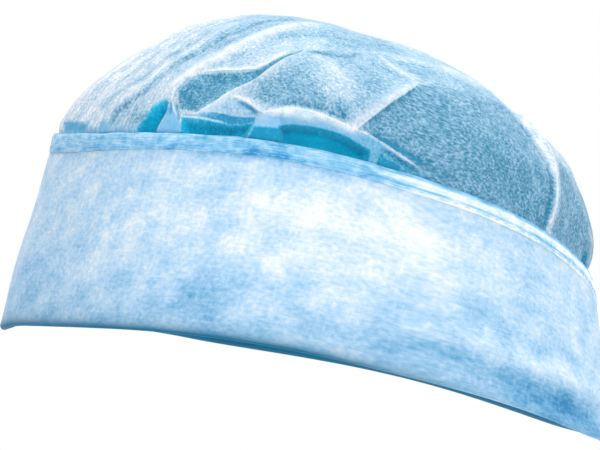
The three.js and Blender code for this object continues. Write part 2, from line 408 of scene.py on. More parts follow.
CREASES = (
    Crease(((-14, 4), (-3, 19), (-4, 37), (-10, 58)), 1.2, 7, 7, light=0.6, width=(4, 3)),
    Crease(((9, 5), (18, 16), (24, 33), (26, 56)), 1.2, 7, 6, light=0.6, width=(3, 2)),
    Crease(((2, 6), (12, 20), (17, 36), (18, 60)), 0.6, 4, 4, light=0.45, width=(2, 1.5)),
    Crease(((17, 5), (22, 13), (28, 26), (31, 40)), 0.6, 4, 4, light=0.3, width=(1.6, 1.2)),
    Crease(
        ((26.5, 9), (28.5, 12), (31, 16), (34, 21.5), (38, 30), (45, 45), (54, 58), (65, 68)),
        2.4, 8, 4, light=0.95, width=(3.8, 2.4),
    ),
    Crease(
        ((33.5, 20.5), (37, 23), (42, 24.2), (47, 25), (50.6, 26), (53, 29), (55.4, 33), (58.5, 38.6)),
        1.8, 6, 4, light=0.85, width=(2.2, 0.3), line=0.3,
    ),
    Crease(
        ((36.5, 6.5), (41, 6.6), (44.5, 10), (47, 14), (50.5, 18.3), (53.4, 23.6), (55.4, 28),
         (58, 33), (61, 39)),
        2.4, 4, 6, light=0.65, width=(0.3, 2.4), line=0.5,
    ),
    Crease(
        ((47.5, 14), (50, 13.4), (52.5, 12.4), (55, 11), (57, 10.4)),
        2.0, 5, 2.5, light=0.85, width=(1.2, 0.4), line=0.6,
    ),
    Crease(((43, 8.6), (46, 11), (48.5, 12.6)), 0.6, 3, 3, light=0.35, width=(1.2, 1.2)),
    Crease(
        ((37, 6), (41, 5.5), (44, 5.1), (47, 4.7), (49, 4.3)), 0.6, 1.6, 1.4, ends=(1, 0.3),
        light=0.1, width=(0.4, 0.5), line=0.6,
    ),
    Crease(((31.5, 13), (32.5, 10.5), (34, 8), (35.5, 6)), 0.8, 1.2, 1.2, light=0.2,
           width=(0.4, 0.4), line=0.6),
    Crease(
        ((57, 10.4), (59.5, 11.6), (62, 12.8), (65, 13.4), (68, 13.2), (71, 12.5), (74, 11.6),
         (76.5, 10.5)),
        3.0, 9, 2.6, ends=(0.8, 0.6), light=1.0, width=(0.3, 2.2), line=0.6, lean=1.8,
    ),
    Crease(
        ((60, 10.6), (64, 11.8), (69, 11.4)), 3.0, 9, 2.6, light=0.85, width=(0.8, 1.8), lean=1.8
    ),
    Crease(
        ((76.5, 10.5), (78.5, 14), (80.5, 18), (82.5, 22.5), (85, 27.5), (88, 33.5), (89.5, 37.5)),
        2.4, 7, 3, ends=(1, 0.5), light=0.8, width=(3, 0.2), line=0.65,
    ),
    Crease(
        ((76.5, 10.5), (78.5, 9.9), (80.5, 8.7), (82.5, 7.5), (85, 6), (87, 4.5), (89, 2.5)),
        1.3, 8, 5, ends=(1, 0.2), light=0.3, width=(0.5, 0.7), line=0.45,
    ),
    Crease(((61, 39), (66, 40.5), (72, 42), (77, 45), (82, 50)), 1.2, 6, 6, light=0.2, width=(3, 2)),
    Crease(
        ((62.5, 38.5), (65.5, 37), (68.5, 35.5), (70.5, 32.5), (71.5, 28.5)), 0.5, 3, 3, light=0.6,
        width=(2, 2), fine=False,
    ),
    Crease(
        ((102, 56), (109, 55.5), (116, 55), (125, 53)), 0.4, 4, 4, light=0.6, width=(4, 4), fine=False
    ),
    Crease(
        ((1, 6), (2.5, 16), (4, 23), (6, 32)), 0.8, 4, 4, light=0.6, width=(2, 1.5), fine=False
    ),
    Crease(((89.5, 37.5), (86, 42), (82, 50)), 1.2, 6, 6, light=0.4, width=(1.6, 1.6)),
    Crease(((82, 50), (92, 54), (104, 54)), 0.8, 6, 6, light=0.3, width=(2.5, 2.5)),
    Crease(
        ((89.5, 37.5), (97, 39), (106, 42), (114, 43), (124.5, 43.5)), 1.0, 8, 8, light=0.12,
        width=(4, 3),
    ),
    Crease(
        ((128, 50), (125.5, 46), (124.2, 42), (123, 38.5), (122.3, 33.5), (121.5, 28), (120, 23),
         (118, 17.5), (117, 12), (116.5, 6.5), (115.8, 1)),
        2.4, 5, 5, ends=(0.6, 0.8), light=0.4, width=(1.2, 1.4), line=0.75,
    ),
    Crease(
        ((122, 55), (125, 50), (122.4, 43), (120, 37), (118.8, 32), (118.4, 27), (118, 22)), 1.2, 5, 6,
        ends=(0.5, 0.8), light=0.95, width=(3.4, 3),
    ),
    Crease(((126, 16), (124, 8), (123, 1)), 0.3, 2, 2, light=0.2, width=(0.9, 0.9)),
    Crease(((109.5, 23), (110.5, 17), (112.5, 11)), 0.5, 2, 2, light=0.22, width=(0.9, 0.9)),
)

# each valley's dark is painted shade
VALLEYS = (
    Valley(((50, 12.8), (52.5, 11.2), (55.5, 9.4)), 0.8, 0.8, 0.7),
    Valley(((77.3, 11.7), (79.5, 15), (81.5, 19), (84, 24.5), (87, 30.5), (89, 35)), 0.9, 0.9, 0.75),
    Valley(((79.5, 9.9), (82.5, 8.8), (85.5, 7.6), (87.5, 6.3), (89.5, 4.8)), 0.2, 1.1, 0.9),
    Valley(((83, 5.4), (86, 3.4), (89, 1)), 0.9, 0.9, 0.6),
    Valley(((118, 38), (117, 32), (117.2, 27), (117.4, 23.5)), 1.0, 1.2, 0.6),
    Valley(((117.4, 23.5), (116.8, 18), (116, 13.5), (115, 8), (114.5, 0.8)), 0.9, 1.2, 0.8),
    Valley(((59.5, 13.2), (62, 14.4), (65, 15), (68.5, 14.7), (72, 14), (75.4, 12.4)), 0.6, 0.8, 0.5),
    Valley(((72, 15.6), (74.6, 13.6)), 0.6, 1.0, 0.6),
    Valley(((31.6, 11.4), (32.4, 9), (32.8, 6.8)), 0.5, 0.5, 0.6),
    Valley(((33.6, 10.5), (35, 7.5), (36.5, 4.5)), 0.5, 0.6, 0.6),
    Valley(((51, 20.3), (53.2, 25.4), (56.2, 31.8), (59.8, 39)), 0.6, 1.1, 0.75),
    Valley(((61.5, 39.6), (64.5, 39.2), (70.5, 39.4), (73.5, 40.8), (77, 44.6)), 0.4, 0.9, 0.35),
    Valley(((5, 6), (14, 21), (19, 38)), 0.4, 2.0, 0.3),
    Valley(((13, 4), (21, 15), (26, 30)), 0.4, 2.2, 0.35),
    Valley(((0, 8), (6, 22), (9, 42), (8, 60)), 0.4, 2.0, 0.2),
    Valley(((22, 20), (28, 34), (34, 52), (46, 66)), 0.5, 2.0, 0.4),
    Valley(((34, 34), (44, 52), (58, 64), (80, 70)), 0.4, 1.6, 0.25),
    Valley(((44, 40), (56, 50), (72, 58), (94, 62)), 0.4, 1.8, 0.2),
    Valley(((-10, 5), (-2, 16), (0, 30)), 0.3, 2.2, 0.15),
)

PATCHES = (
    Patch(((-4, 22), (22, 22), (30, 50), (30, 75), (-20, 75)), 0.72, soft=20),
    Patch(((-25, -1), (-25, 50), (0, 50), (8, 20), (8, -1)), 0.78, soft=14),
    Patch(((11.5, 7), (16, 11), (23.5, 10.5), (26, 8), (25, 2.5), (20, 2), (14, 2)), 0.46, soft=4),
    Patch(((3.6, -1), (3.6, 2.2), (24.5, 2.2), (24.5, -1)), 0.5, soft=2.5, quiet=0.6),
    Patch(
        ((16, 30), (12, 76), (60, 82), (110, 75), (86, 60), (60, 54), (45, 44), (37, 32), (28, 24)),
        0.46, soft=12,
    ),
    Patch(((9, 4), (13, 4), (14, 0.3), (10, 0.5)), 0.4, soft=1.8, quiet=0.8),
    Patch(
        ((78, 11.6), (83, 22.5), (90, 37.5), (92, 40), (102, 45), (112, 48), (123, 47), (120, 30),
         (117.5, 20), (116, 8), (115.4, -1), (88, -1), (87.5, 4.3), (80.8, 9)),
        0.28, soft=1.6,
    ),
    Patch(((90, 38), (84, 48), (100, 54), (124, 54), (124, 44), (108, 44)), 0.42, soft=6),
    Patch(((98, 6), (96, 18), (106, 24), (113, 14), (112, 6)), 0.22, soft=8),
    Patch(((117.5, -1), (118.5, 12), (121.5, 22), (126, 28), (132, 25), (134, -1)), 0.24, soft=3),
    Patch(((125, -1), (127, 20), (140, 27), (156, 22), (166, -1)), 0.25, soft=17),
    Patch(((164, -1), (156, 30), (150, 60), (200, 60), (200, -1)), 0.62, soft=26),
    Patch(((104, 62), (132, 52), (160, 40), (190, 60), (190, 88), (104, 88)), 0.7, soft=16),
    Patch(
        ((61, 39.3), (66, 40.5), (72, 42), (82, 50), (88.5, 36), (77.5, 12), (72, 14), (65, 15), (59, 12.5),
         (48.5, 15.5)),
        0.46,
    ),
    Patch(((84, 50), (100, 52), (126, 52), (130, 62), (90, 68)), 0.52, soft=8),
    Patch(((67, 38), (66, 56), (96, 74), (92, 56), (82, 48)), 0.4, soft=7),
    Patch(((31, 30), (44, 34), (48, 25.5), (36, 23)), 0.5, soft=5),
    Patch(((52, 21), (62, 26), (65, 16), (56, 13.6)), 0.3, soft=5),
    Patch(((65, 34), (74.5, 34), (76, 20), (69, 18)), 0.64, soft=5),
    Patch(((76, 33), (84, 36.5), (82.5, 27), (77.5, 25)), 0.38, soft=4),
    Patch(((66, 19), (74, 19), (75.5, 14), (68, 15.4)), 0.41, soft=4),
    Patch(
        ((32.5, 15.5), (33.5, 19), (36.5, 21.7), (42, 22.8), (47, 23.7), (50.8, 24.8), (53.2, 28),
         (55.8, 32.4), (59.8, 39), (60.8, 39), (57.6, 33.4), (55, 28.4), (53, 23.8), (50.2, 18.8),
         (47, 14.8), (44, 10.3), (41.3, 7.4), (35.5, 8.5)),
        0.2, soft=1, teal=0.1,
    ),
    Patch(
        ((36.8, 6.5), (41, 6.6), (45, 7.6), (50, 7), (55.5, 7.6), (55.6, 6.2), (53.5, 4.8), (50, 4),
         (44, 5), (37, 5.9)),
        0.06, soft=0.6, quiet=0.6, teal=0.1,
    ),
    Patch(
        ((41.6, 7.3), (45, 11), (47.5, 13.8), (50, 13.2), (52.5, 12), (55.5, 10.6), (56, 7.8), (51, 7.2),
         (47.5, 8), (44, 7.2)),
        0.54, soft=0.8, quiet=0.4,
    ),
    Patch(
        ((56.5, 9.6), (62, 12.2), (66, 12.8), (74, 10.6), (78, 9), (80.4, 4), (75.5, 6.4), (68, 7.4),
         (61, 5)),
        0.38, soft=1, quiet=0.9,
    ),
    Patch(((55.6, 9), (61, 8), (62.2, 2), (62.2, -1), (54.5, -1)), 0.5, soft=1, quiet=1),
    Patch(((55.6, 4.4), (61.6, 5), (62.3, -1), (54.8, -1)), 0.0, soft=1.2, quiet=0.8, teal=0.6),
    Patch(
        ((31, -1), (31.8, 7), (32.4, 11), (33.6, 9.4), (36, 5.6), (37.4, 2.5), (37.6, -1)),
        0.4, soft=0.8, quiet=1,
    ),
    Patch(
        ((76.5, 9.8), (80.4, 8.4), (84.8, 5.6), (87.2, 4), (89, -1), (80.4, -1)), 0.34, soft=1.4,
        quiet=0.7,
    ),
    Patch(
        ((-11.5, 4), (3.5, 3.5), (3, 0.2), (-6.5, 0.1)),
        0.12, soft=2.4, depth=0.4, quiet=1, teal=0.25,
    ),
    Patch(
        ((24.5, 0.4), (25, 3), (26, 6.5), (26.8, 8.7), (28.2, 10.6), (29.8, 11.8), (31, 11), (31.6, 8),
         (31.2, 5), (30.6, -1), (25, -1)),
        0.1, soft=1.4, depth=4, teal=1, quiet=0.5,
    ),
    Patch(
        ((37, 5.6), (41, 5.1), (44.5, 4.7), (50, 3.8), (53.5, 4.8), (55.5, 6), (54.3, -1), (37.8, -1)),
        0.24, soft=0.8, depth=3.5, teal=1, quiet=0.3,
    ),
    Patch(
        ((61, 5.8), (64, 7.2), (68, 7.8), (72, 7.6), (75.5, 6.8), (77.5, 5.6), (80.2, 4.2), (80.3, -1),
         (62, -1)),
        0.06, soft=0.8, depth=3.4, teal=1, quiet=0.5,
    ),
    Patch(
        ((82, 6.2), (84, 5.3), (86.5, 4), (88.8, 1.8), (90, 0.4), (90, -1), (82, -1)),
        0.3, soft=1.6, depth=0.3, teal=0.3, quiet=0.1,
    ),
    Patch(
        ((80.6, 9.9), (83, 9.1), (86, 7.8), (88.2, 6.1), (89.4, 4.9), (88.9, 4.6), (87.4, 5.7),
         (85.5, 6.9), (82.8, 8.1)),
        0.0, soft=0.9, quiet=0.4, teal=0.1,
    ),
    Patch(((82, 3.4), (84.3, 2.8), (85.8, 1.2), (86.2, -1), (82, -1)), 0.06, soft=1.4, teal=0.6),
)


FAR_STARTS = range(136, 328, 24)  # where each gather of the far side starts
ARCH_STEPS = (0.06, 0.2, 0.38, 0.56, 0.74, 0.9, 0.97)  # stations over an arch, as shares of its width
ARCH_BLUNTNESS = 0.6  # less than 1 makes an arch fuller than a wave


def plain_recesses() -> list[Patch]:
    """The far side's gathers: leaning arches, each with a smooth flat behind it."""
    patches = []
    for turn, start in enumerate(FAR_STARTS):
        wide, high, slant = 11 + 3 * (turn % 3), 6.5 + 2.5 * (turn % 2), 3 * (turn % 3 - 1)
        arch = [(start, -1.0)]
        for step in ARCH_STEPS:
            rise = math.sin(math.pi * step)
            arch.append((start + wide * step + slant * rise, high * rise**ARCH_BLUNTNESS))
        end = start + wide
        flat = (
            (end, -1), (end, 2), (end + 1.5, high - 2), (end + 4, high), (end + 8, 3), (end + 8.5, -1)
        )
        patches.append(Patch(flat, 0.46, soft=2.2, quiet=0.8, fine=False))
        arch.append((end, -1.0))
        # each arch's hollow carries painted shade
        patches.append(Patch(tuple(arch), 0.26, soft=1.8, depth=3.5, teal=0.75, fine=False))
    return patches


def plain_creases() -> list[Crease]:
    """On the far side creases fan out from the flats between the recesses."""
    creases = []
    for turn, start in enumerate(FAR_STARTS):
        foot, top = start + 11 + 3 * (turn % 3), 7 + 2 * (turn % 2)
        through = (
            (foot + 3, 3),
            (foot + 5 - 3 * (turn % 2), top + 12),
            (foot + 8, 34 + 6 * (turn % 3)),
        )
        creases.append(Crease(through, 1.8, 8, 6, light=0.6, width=(1.8, 1.2), fine=False))
        over = (
            (foot + 1, 4),
            (foot - 4, top + 2.5),
            (foot - 9, top + 4 + 3 * (turn % 2)),
            (foot - 16, top + 12),
        )
        creases.append(Crease(over, 1.4, 5, 3, light=0.5, width=(1.2, 0.6), fine=False))
    return creases


@dataclass(frozen=True)
class Run:
    """A line of straight pieces over the dome, given by its stations."""

    form: CapForm
    stations: tuple[Station, ...]
    closed: bool = False

    def measure(self, around: Array, up: Array, at: Array) -> tuple[Array, Array, Array]:
        """Measures points against the line.

        Args:
            around: the points' angles around.
            up: their angles up.
            at: their places on the smooth dome.

        Returns:
            The distance to the line, the side it lies on (positive on the left) and the share of
            the line's length at the nearest place.
        """
        ring = [*self.stations, self.stations[0]] if self.closed else list(self.stations)
        turns, rises = (np.array(row, float) for row in zip(*ring))
        places = self.form.dome(turns, np.maximum(rises, 0.0))
        lengths = np.linalg.norm(np.diff(places, axis=0), axis=1)
        before = np.concatenate([[0.0], np.cumsum(lengths)]) / lengths.sum()
        best, side, share = np.full(len(at), np.inf), np.zeros(len(at)), np.zeros(len(at))
        for i, length in enumerate(lengths):
            if self.closed and max(rises[i], rises[i + 1]) <= 0.0:
                continue  # the open mouth of a recess
            way = places[i + 1] - places[i]
            part = np.clip((at - places[i]) @ way / length**2, 0.0, 1.0)
            distance = np.linalg.norm(at - places[i] - part[:, None] * way, axis=1)
            turn = turn_between(around, turns[i])
            cross = (turns[i + 1] - turns[i]) * (up - rises[i]) - (rises[i + 1] - rises[i]) * turn
            closer = distance < best
            best[closer], side[closer] = distance[closer], cross[closer]
            share[closer] = (before[i] + part * (before[i + 1] - before[i]))[closer]
        return best, side, share

    def inside(self, around: Array, up: Array, at: Array) -> Array:
        """Distance in from a closed line's nearest side, negative outside it."""
        distance, _, _ = self.measure(around, up, at)
        ring = [*self.stations, self.stations[0]]
        middle = sum(turn for turn, _ in self.stations) / len(self.stations)
        here = turn_between(around, middle) + middle
        crossed = np.zeros(len(at), bool)
        for (a, low), (b, high) in zip(ring, ring[1:]):
            if low != high:
                meets = a + (up - low) / (high - low) * (b - a)
                crossed ^= ((low > up) != (high > up)) & (here < meets)
        return np.where(crossed, distance, -distance)


@dataclass(frozen=True)
class SheetShape:
    """The folded sheet at a set of points.

    stand is how far it stands off the smooth dome, lean how far it rolls down, cover how much cloth
    there is from 0 to 1, darkened by the valleys' painted shade, teal how much painted shade of a
    recess shows, quiet how smooth it is, crest how white it is where two layers of cloth and a
    painted highlight show, line how sharp a painted highlight line the nearest crest is, beside the
    distance to it, and near the distance to the nearest fold of any kind.
    """

    stand: Array
    lean: Array
    cover: Array
    teal: Array
    quiet: Array
    crest: Array
    line: Array
    beside: Array
    near: Array


@dataclass
class Folds:
    """Works out the crown's folds."""

    form: CapForm
    patches: list[Patch] = field(default_factory=lambda: [*PATCHES, *plain_recesses()])
    creases: list[Crease] = field(default_factory=lambda: [*CREASES, *plain_creases()])
    valleys: tuple[Valley, ...] = VALLEYS

    CREST_ROUNDING = 0.4
    CREST_END = 0.18  # share of a crest's length over which it grows from its end
    CREST_GRAIN = 3.5  # size of the unevenness along a crest's white
    CREST_SEED = 21.0
    VALLEY_END = (-0.1, 0.15)  # the same for a valley
    PLAIN_COVER = 0.62
    FOOT_COVER, FOOT_COVER_FADES = 0.12, (3.0, 8.0)  # there is more cloth at the foot
    COARSE, COARSE_START = 2.4, 1.0  # how much further off a coarse fold counts as
    FREE = 5.0  # angle up from which a fold has its whole height
    FOOT_PUFF = 0.5  # how far the sheet swells out just above the binding
    FOOT_PUFF_GROWS, FOOT_PUFF_FADES = (0.0, 0.8), (1.5, 6.0)
    LINE_REACH = 3.0
    LEAN_REACH = 3.0
    BROAD = 4.0  # a patch with a softer edge than this only shades the cloth
    SHARP = 2.0  # a patch with a sharper edge than this needs finer faces
    WALL_SLOPE, WALL_FOOT = 0.55, 0.4  # width of a recess's wall for its depth, and at no depth
    WALL_START = -0.3

    def shape(self, around: Array, up: Array) -> SheetShape:
        """The sheet's shape at each point.

        Args:
            around: angles round the head.
            up: angles over the crown.

        Returns:
            The folded sheet there.
        """
        at = self.form.dome(around, up)
        near = np.full(len(at), np.inf)
        cover, teal, quiet, drawn_in = self._patches(around, up, at, near)
        crest, lean, light, line, beside = self._crests(around, up, at, near)
        groove, dark = self._grooves(around, up, at, near)
        puff = np.zeros(len(at))
        for one in PUFFS:
            centre = self.form.dome(np.array([one.around]), np.array([one.up]))
            puff += one.proud * bell(np.linalg.norm(at - centre, axis=1), one.radius)
        free = ease(up, 0.0, self.FREE)
        foot = self.FOOT_PUFF * ease(up, *self.FOOT_PUFF_GROWS)
        foot *= 1.0 - ease(up, *self.FOOT_PUFF_FADES)
        stand = (crest + puff - groove) * free + foot - drawn_in
        # the valleys' painted shade darkens the cloth and the crests' white
        cover, light = cover * (1.0 - dark), light * (1.0 - dark)
        return SheetShape(stand, lean * free, cover, teal, quiet, light, line, beside, near)

    def _note(self, near: Array, distance: Array, fine: bool) -> None:
        """Keeps the distance to the nearest fold; a coarse one counts as further off."""
        counted = distance if fine else distance * self.COARSE + self.COARSE_START
        np.minimum(near, counted, out=near)

    def _patches(self, around: Array, up: Array, at: Array, near: Array) -> tuple[Array, ...]:
        """How much cloth and painted recess shade each facet shows, how quiet it is and how far it is drawn
        in.
        """
        cover = np.full(len(at), self.PLAIN_COVER)
        cover += self.FOOT_COVER * (1.0 - ease(up, *self.FOOT_COVER_FADES))
        teal, quiet, drawn_in = np.zeros(len(at)), np.zeros(len(at)), np.zeros(len(at))
        for one in self.patches:
            inside = Run(self.form, one.corners, closed=True).inside(around, up, at)
            share = ease(inside, -one.soft / 2.0, one.soft / 2.0)
            cover += (one.cover - cover) * share
            teal += (one.teal - teal) * share * (one.soft < self.BROAD)
            quiet += (one.quiet - quiet) * share * (one.soft < self.BROAD)
            if one.depth:
                reach = self.WALL_SLOPE * one.depth + self.WALL_FOOT
                wall = one.depth * ease(inside, self.WALL_START, reach)
                drawn_in = np.maximum(drawn_in, wall)
            if one.soft < self.SHARP:
                self._note(near, np.abs(inside), one.fine)
        return cover, teal, quiet, drawn_in

    def _crests(self, around: Array, up: Array, at: Array, near: Array) -> tuple[Array, ...]:
        """The height of the crests, how far they roll over, their white from two layers and painted
        highlight, and their painted highlight lines.
        """
        crest, lean, light = np.zeros(len(at)), np.zeros(len(at)), np.zeros(len(at))
        line, beside = np.zeros(len(at)), np.full(len(at), self.LINE_REACH)
        for one in self.creases:
            distance, side, share = Run(self.form, one.through).measure(around, up, at)
            end = np.where(share < 0.5, one.ends[0], one.ends[1])
            height = end + (1.0 - end) * ease(np.minimum(share, 1.0 - share), 0.0, self.CREST_END)
            reach = np.where(side > 0, one.left, one.right)
            rounded = np.hypot(distance, self.CREST_ROUNDING) - self.CREST_ROUNDING
            crest = np.maximum(crest, one.proud * height * np.exp(-rounded / reach))
            lean = np.maximum(lean, one.lean * height * bell(distance, self.LEAN_REACH))
            wide = np.where(side > 0, one.width[0], one.width[1])
            light = np.maximum(light, one.light * height * bell(distance, wide))
            closer = (distance < beside) & (one.line > 0.0)
            beside[closer], line[closer] = distance[closer], (one.line * height)[closer]
            self._note(near, distance, one.fine)
        light *= 0.85 + 0.5 * grain(at / self.CREST_GRAIN, self.CREST_SEED)
        return crest, lean, light, line, beside

    def _grooves(self, around: Array, up: Array, at: Array, near: Array) -> tuple[Array, Array]:
        """The depth of the valleys and the strength of their painted shade."""
        groove, dark = np.zeros(len(at)), np.zeros(len(at))
        for one in self.valleys:
            distance, _, share = Run(self.form, one.through).measure(around, up, at)
            height = ease(np.minimum(share, 1.0 - share), *self.VALLEY_END)
            line = height * bell(distance, one.width)
            groove = np.maximum(groove, one.depth * line)
            dark = np.maximum(dark, one.dark * line)
            self._note(near, distance, True)
        return groove, dark


# ---- Meshes ------------------------------------------------------------------------------------


def deselect_all() -> None:
    """Leaves object mode with nothing selected."""
    if bpy.context.object and bpy.context.object.mode != "OBJECT":
        bpy.ops.object.mode_set(mode="OBJECT")
    bpy.ops.object.select_all(action="DESELECT")


def make_piece(name: str, points: Array, faces: list[tuple[int, ...]]) -> bpy.types.Object:
    """Makes a smooth-shaded piece from points in millimetres.

    Args:
        name: the piece's name.
        points: one row for each vertex.
        faces: vertex numbers of each face, anticlockwise from outside.

    Returns:
        The new object, at the origin.
    """
    mesh = bpy.data.meshes.new(name)
    mesh.from_pydata((points * MM).tolist(), [], faces)
    mesh.validate()
    mesh.shade_smooth()
    piece = bpy.data.objects.new(name, mesh)
    bpy.context.scene.collection.objects.link(piece)
    return piece


def store(piece: bpy.types.Object, name: str, values: Array) -> None:
    """Keeps one number or one vector for each vertex as an attribute that the materials read."""
    kind, key = ("FLOAT", "value") if values.ndim == 1 else ("FLOAT_VECTOR", "vector")
    layer = piece.data.attributes.new(name, kind, "POINT")
    layer.data.foreach_set(key, np.ascontiguousarray(values, np.float32).ravel())


def store_round(piece: bpy.types.Object, name: str, values: Array) -> None:
    """Keeps places in a closed strip of cloth for each face corner.

    Args:
        piece: a ring of four-sided faces.
        name: the attribute's name.
        values: one vector for each vertex, the way round the strip first. Where the strip's ends
            meet, the vertices of the low end count as following on from the high end.
    """
    corners = np.empty(len(piece.data.loops), int)
    piece.data.loops.foreach_get("vertex_index", corners)
    placed = values[corners].reshape(-1, 4, 3)
    whole = np.ptp(values[:, 0])
    placed[..., 0] += whole * (placed[..., 0].max(1, keepdims=True) - placed[..., 0] > whole / 2.0)
    layer = piece.data.attributes.new(name, "FLOAT_VECTOR", "CORNER")
    layer.data.foreach_set("vector", np.ascontiguousarray(placed, np.float32).ravel())


def add_thickness(piece: bpy.types.Object, thickness: float) -> None:
    """Gives a single sheet its thickness, towards the head."""
    deselect_all()
    piece.select_set(True)
    bpy.context.view_layer.objects.active = piece
    solid = piece.modifiers.new("thickness", "SOLIDIFY")
    solid.thickness = thickness * MM
    solid.offset = -1.0
    solid.use_rim = True
    bpy.ops.object.modifier_apply(modifier=solid.name)
    deselect_all()


def ring_of_sections(columns: int, rows: int) -> list[tuple[int, int, int, int]]:
    """Faces of a closed ring whose vertices are listed section by section, each section closed."""
    faces = []
    for i in range(columns):
        j = (i + 1) % columns
        for row in range(rows):
            other = (row + 1) % rows
            faces.append((i * rows + row, i * rows + other, j * rows + other, j * rows + row))
    return faces


def smooth_path(corners: list[tuple[float, ...]], spacing: float) -> Array:
    """Fills a path of (share, rise, out) corners with evenly spaced rows."""
    rows: list[Array] = []
    for a, b in zip(corners, corners[1:]):
        start, end = np.array(a, float), np.array(b, float)
        up, out = SHARE_HEIGHT * (end[0] - start[0]) + end[1] - start[1], end[2] - start[2]
        count = max(1, round(math.hypot(up, out) / spacing))
        rows.extend(start + (end - start) * k / count for k in range(count))
    return np.array([*rows, corners[-1]])


def thick_section(path: Array, thickness: float) -> Array:
    """Turns a folded sheet's path into its closed section.

    Args:
        path: rows of (share, rise, out) along the middle of the cloth, outside first.
        thickness: of the cloth.

    Returns:
        Rows along the outer face, from the path's end, and back along the inner face.
    """
    up = SHARE_HEIGHT * path[:, 0] + path[:, 1]
    way = np.stack([np.gradient(up), np.gradient(path[:, 2])], -1)
    way /= np.linalg.norm(way, axis=1, keepdims=True)
    aside = np.stack([0.0 * up, way[:, 1], -way[:, 0]], -1) * thickness / 2.0
    return np.concatenate([(path + aside)[::-1], path - aside])


# ---- Finishes ----------------------------------------------------------------------------------


class Web(Enum):
    """How the fibres of a nonwoven cloth lie."""

    RANDOM = (12.0, 74.0, 133.0)
    SQUARE = (4.0, 86.0, 176.0)
    ALONG = (1.0, 5.0, 177.0)


Colour = tuple[float, float, float]
Ramp = tuple[tuple[float, Colour], ...]
Socket = bpy.types.NodeSocket
Feed = dict[str | int, object]  # what goes into a node's inputs: sockets, numbers or colours


def linear(red: int, green: int, blue: int) -> Colour:
    """A display colour, 0 to 255 each, as the linear values that a shader takes."""

    def one(value: int) -> float:
        share = value / 255.0
        return share / 12.92 if share <= 0.04045 else ((share + 0.055) / 1.055) ** 2.4

    return one(red), one(green), one(blue)


class Net:
    """Adds nodes to a shader's tree and joins them."""

    def __init__(self, tree: bpy.types.NodeTree) -> None:
        """Takes the tree that the nodes go into."""
        self.tree = tree

    def feed(self, node: bpy.types.Node, inputs: Feed) -> None:
        """Links each input to its socket, or sets it to its number or colour."""
        for key, value in inputs.items():
            if isinstance(value, Socket):
                self.tree.links.new(value, node.inputs[key])
            else:
                node.inputs[key].default_value = value

    def add(self, kind: str, inputs: Feed, **settings: object) -> bpy.types.Node:
        """Adds a node.

        Args:
            kind: its type, without the word that all shader nodes start with.
            inputs: what goes into it.
            settings: its own properties, which are set first.

        Returns:
            The new node.
        """
        node = self.tree.nodes.new(f"ShaderNode{kind}")
        for name, value in settings.items():
            setattr(node, name, value)
        self.feed(node, inputs)
        return node

    def math(self, operation: str, *values: Socket | float) -> Socket:
        """One sum, of sockets or numbers."""
        return self.add("Math", dict(enumerate(values)), operation=operation).outputs[0]

    def noise(self, inputs: Feed) -> Socket:
        """Smooth noise from 0 to 1."""
        return self.add("TexNoise", inputs).outputs["Fac"]

    def spread(self, value: Socket, low: float, high: float) -> Socket:
        """Stretches what lies between low and high over 0 to 1."""
        inputs = {"From Min": low, "From Max": high, "Value": value}
        return self.add("MapRange", inputs).outputs[0]

    def attribute(self, name: str, output: str = "Fac") -> Socket:
        """A value that the piece carries at each vertex."""
        return self.add("Attribute", {}, attribute_name=name).outputs[output]

    def centred(self, value: Socket) -> Socket:
        """A value from 0 to 1 as one from -0.5 to 0.5."""
        return self.math("SUBTRACT", value, 0.5)

    def clipped(self, value: Socket) -> Socket:
        """A value held between 0 and 1."""
        return self.math("MINIMUM", self.math("MAXIMUM", value, 0.0), 1.0)

    def ramp(self, colours: Ramp, amount: Socket) -> Socket:
        """A row of colours along an amount."""
        node = self.add("ValToRGB", {"Fac": amount})
        stops = node.color_ramp.elements
        for i, (place, colour) in enumerate(colours):
            stop = stops[i] if i < 2 else stops.new(place)
            stop.position = place
            stop.color = (*colour, 1.0)
        return node.outputs["Color"]

    def mixed(self, share: Socket, start: Socket, end: Socket | Colour) -> Socket:
        """Moves a colour towards another by a share."""
        other = end if isinstance(end, Socket) else (*end, 1.0)
        inputs = {"Factor": share, "A": start, "B": other}
        return self.add("Mix", inputs, data_type="RGBA").outputs["Result"]

    def towards(self, share: Socket, start: Socket, end: float) -> Socket:
        """Moves an amount towards another by a share."""
        return self.add("Mix", {"Factor": share, "A": start, "B": end}).outputs["Result"]

    def shaders_mixed(self, share: Socket | float, first: Socket, second: Socket) -> Socket:
        """Mixes two shaders."""
        return self.add("MixShader", {"Fac": share, 1: first, 2: second}).outputs[0]


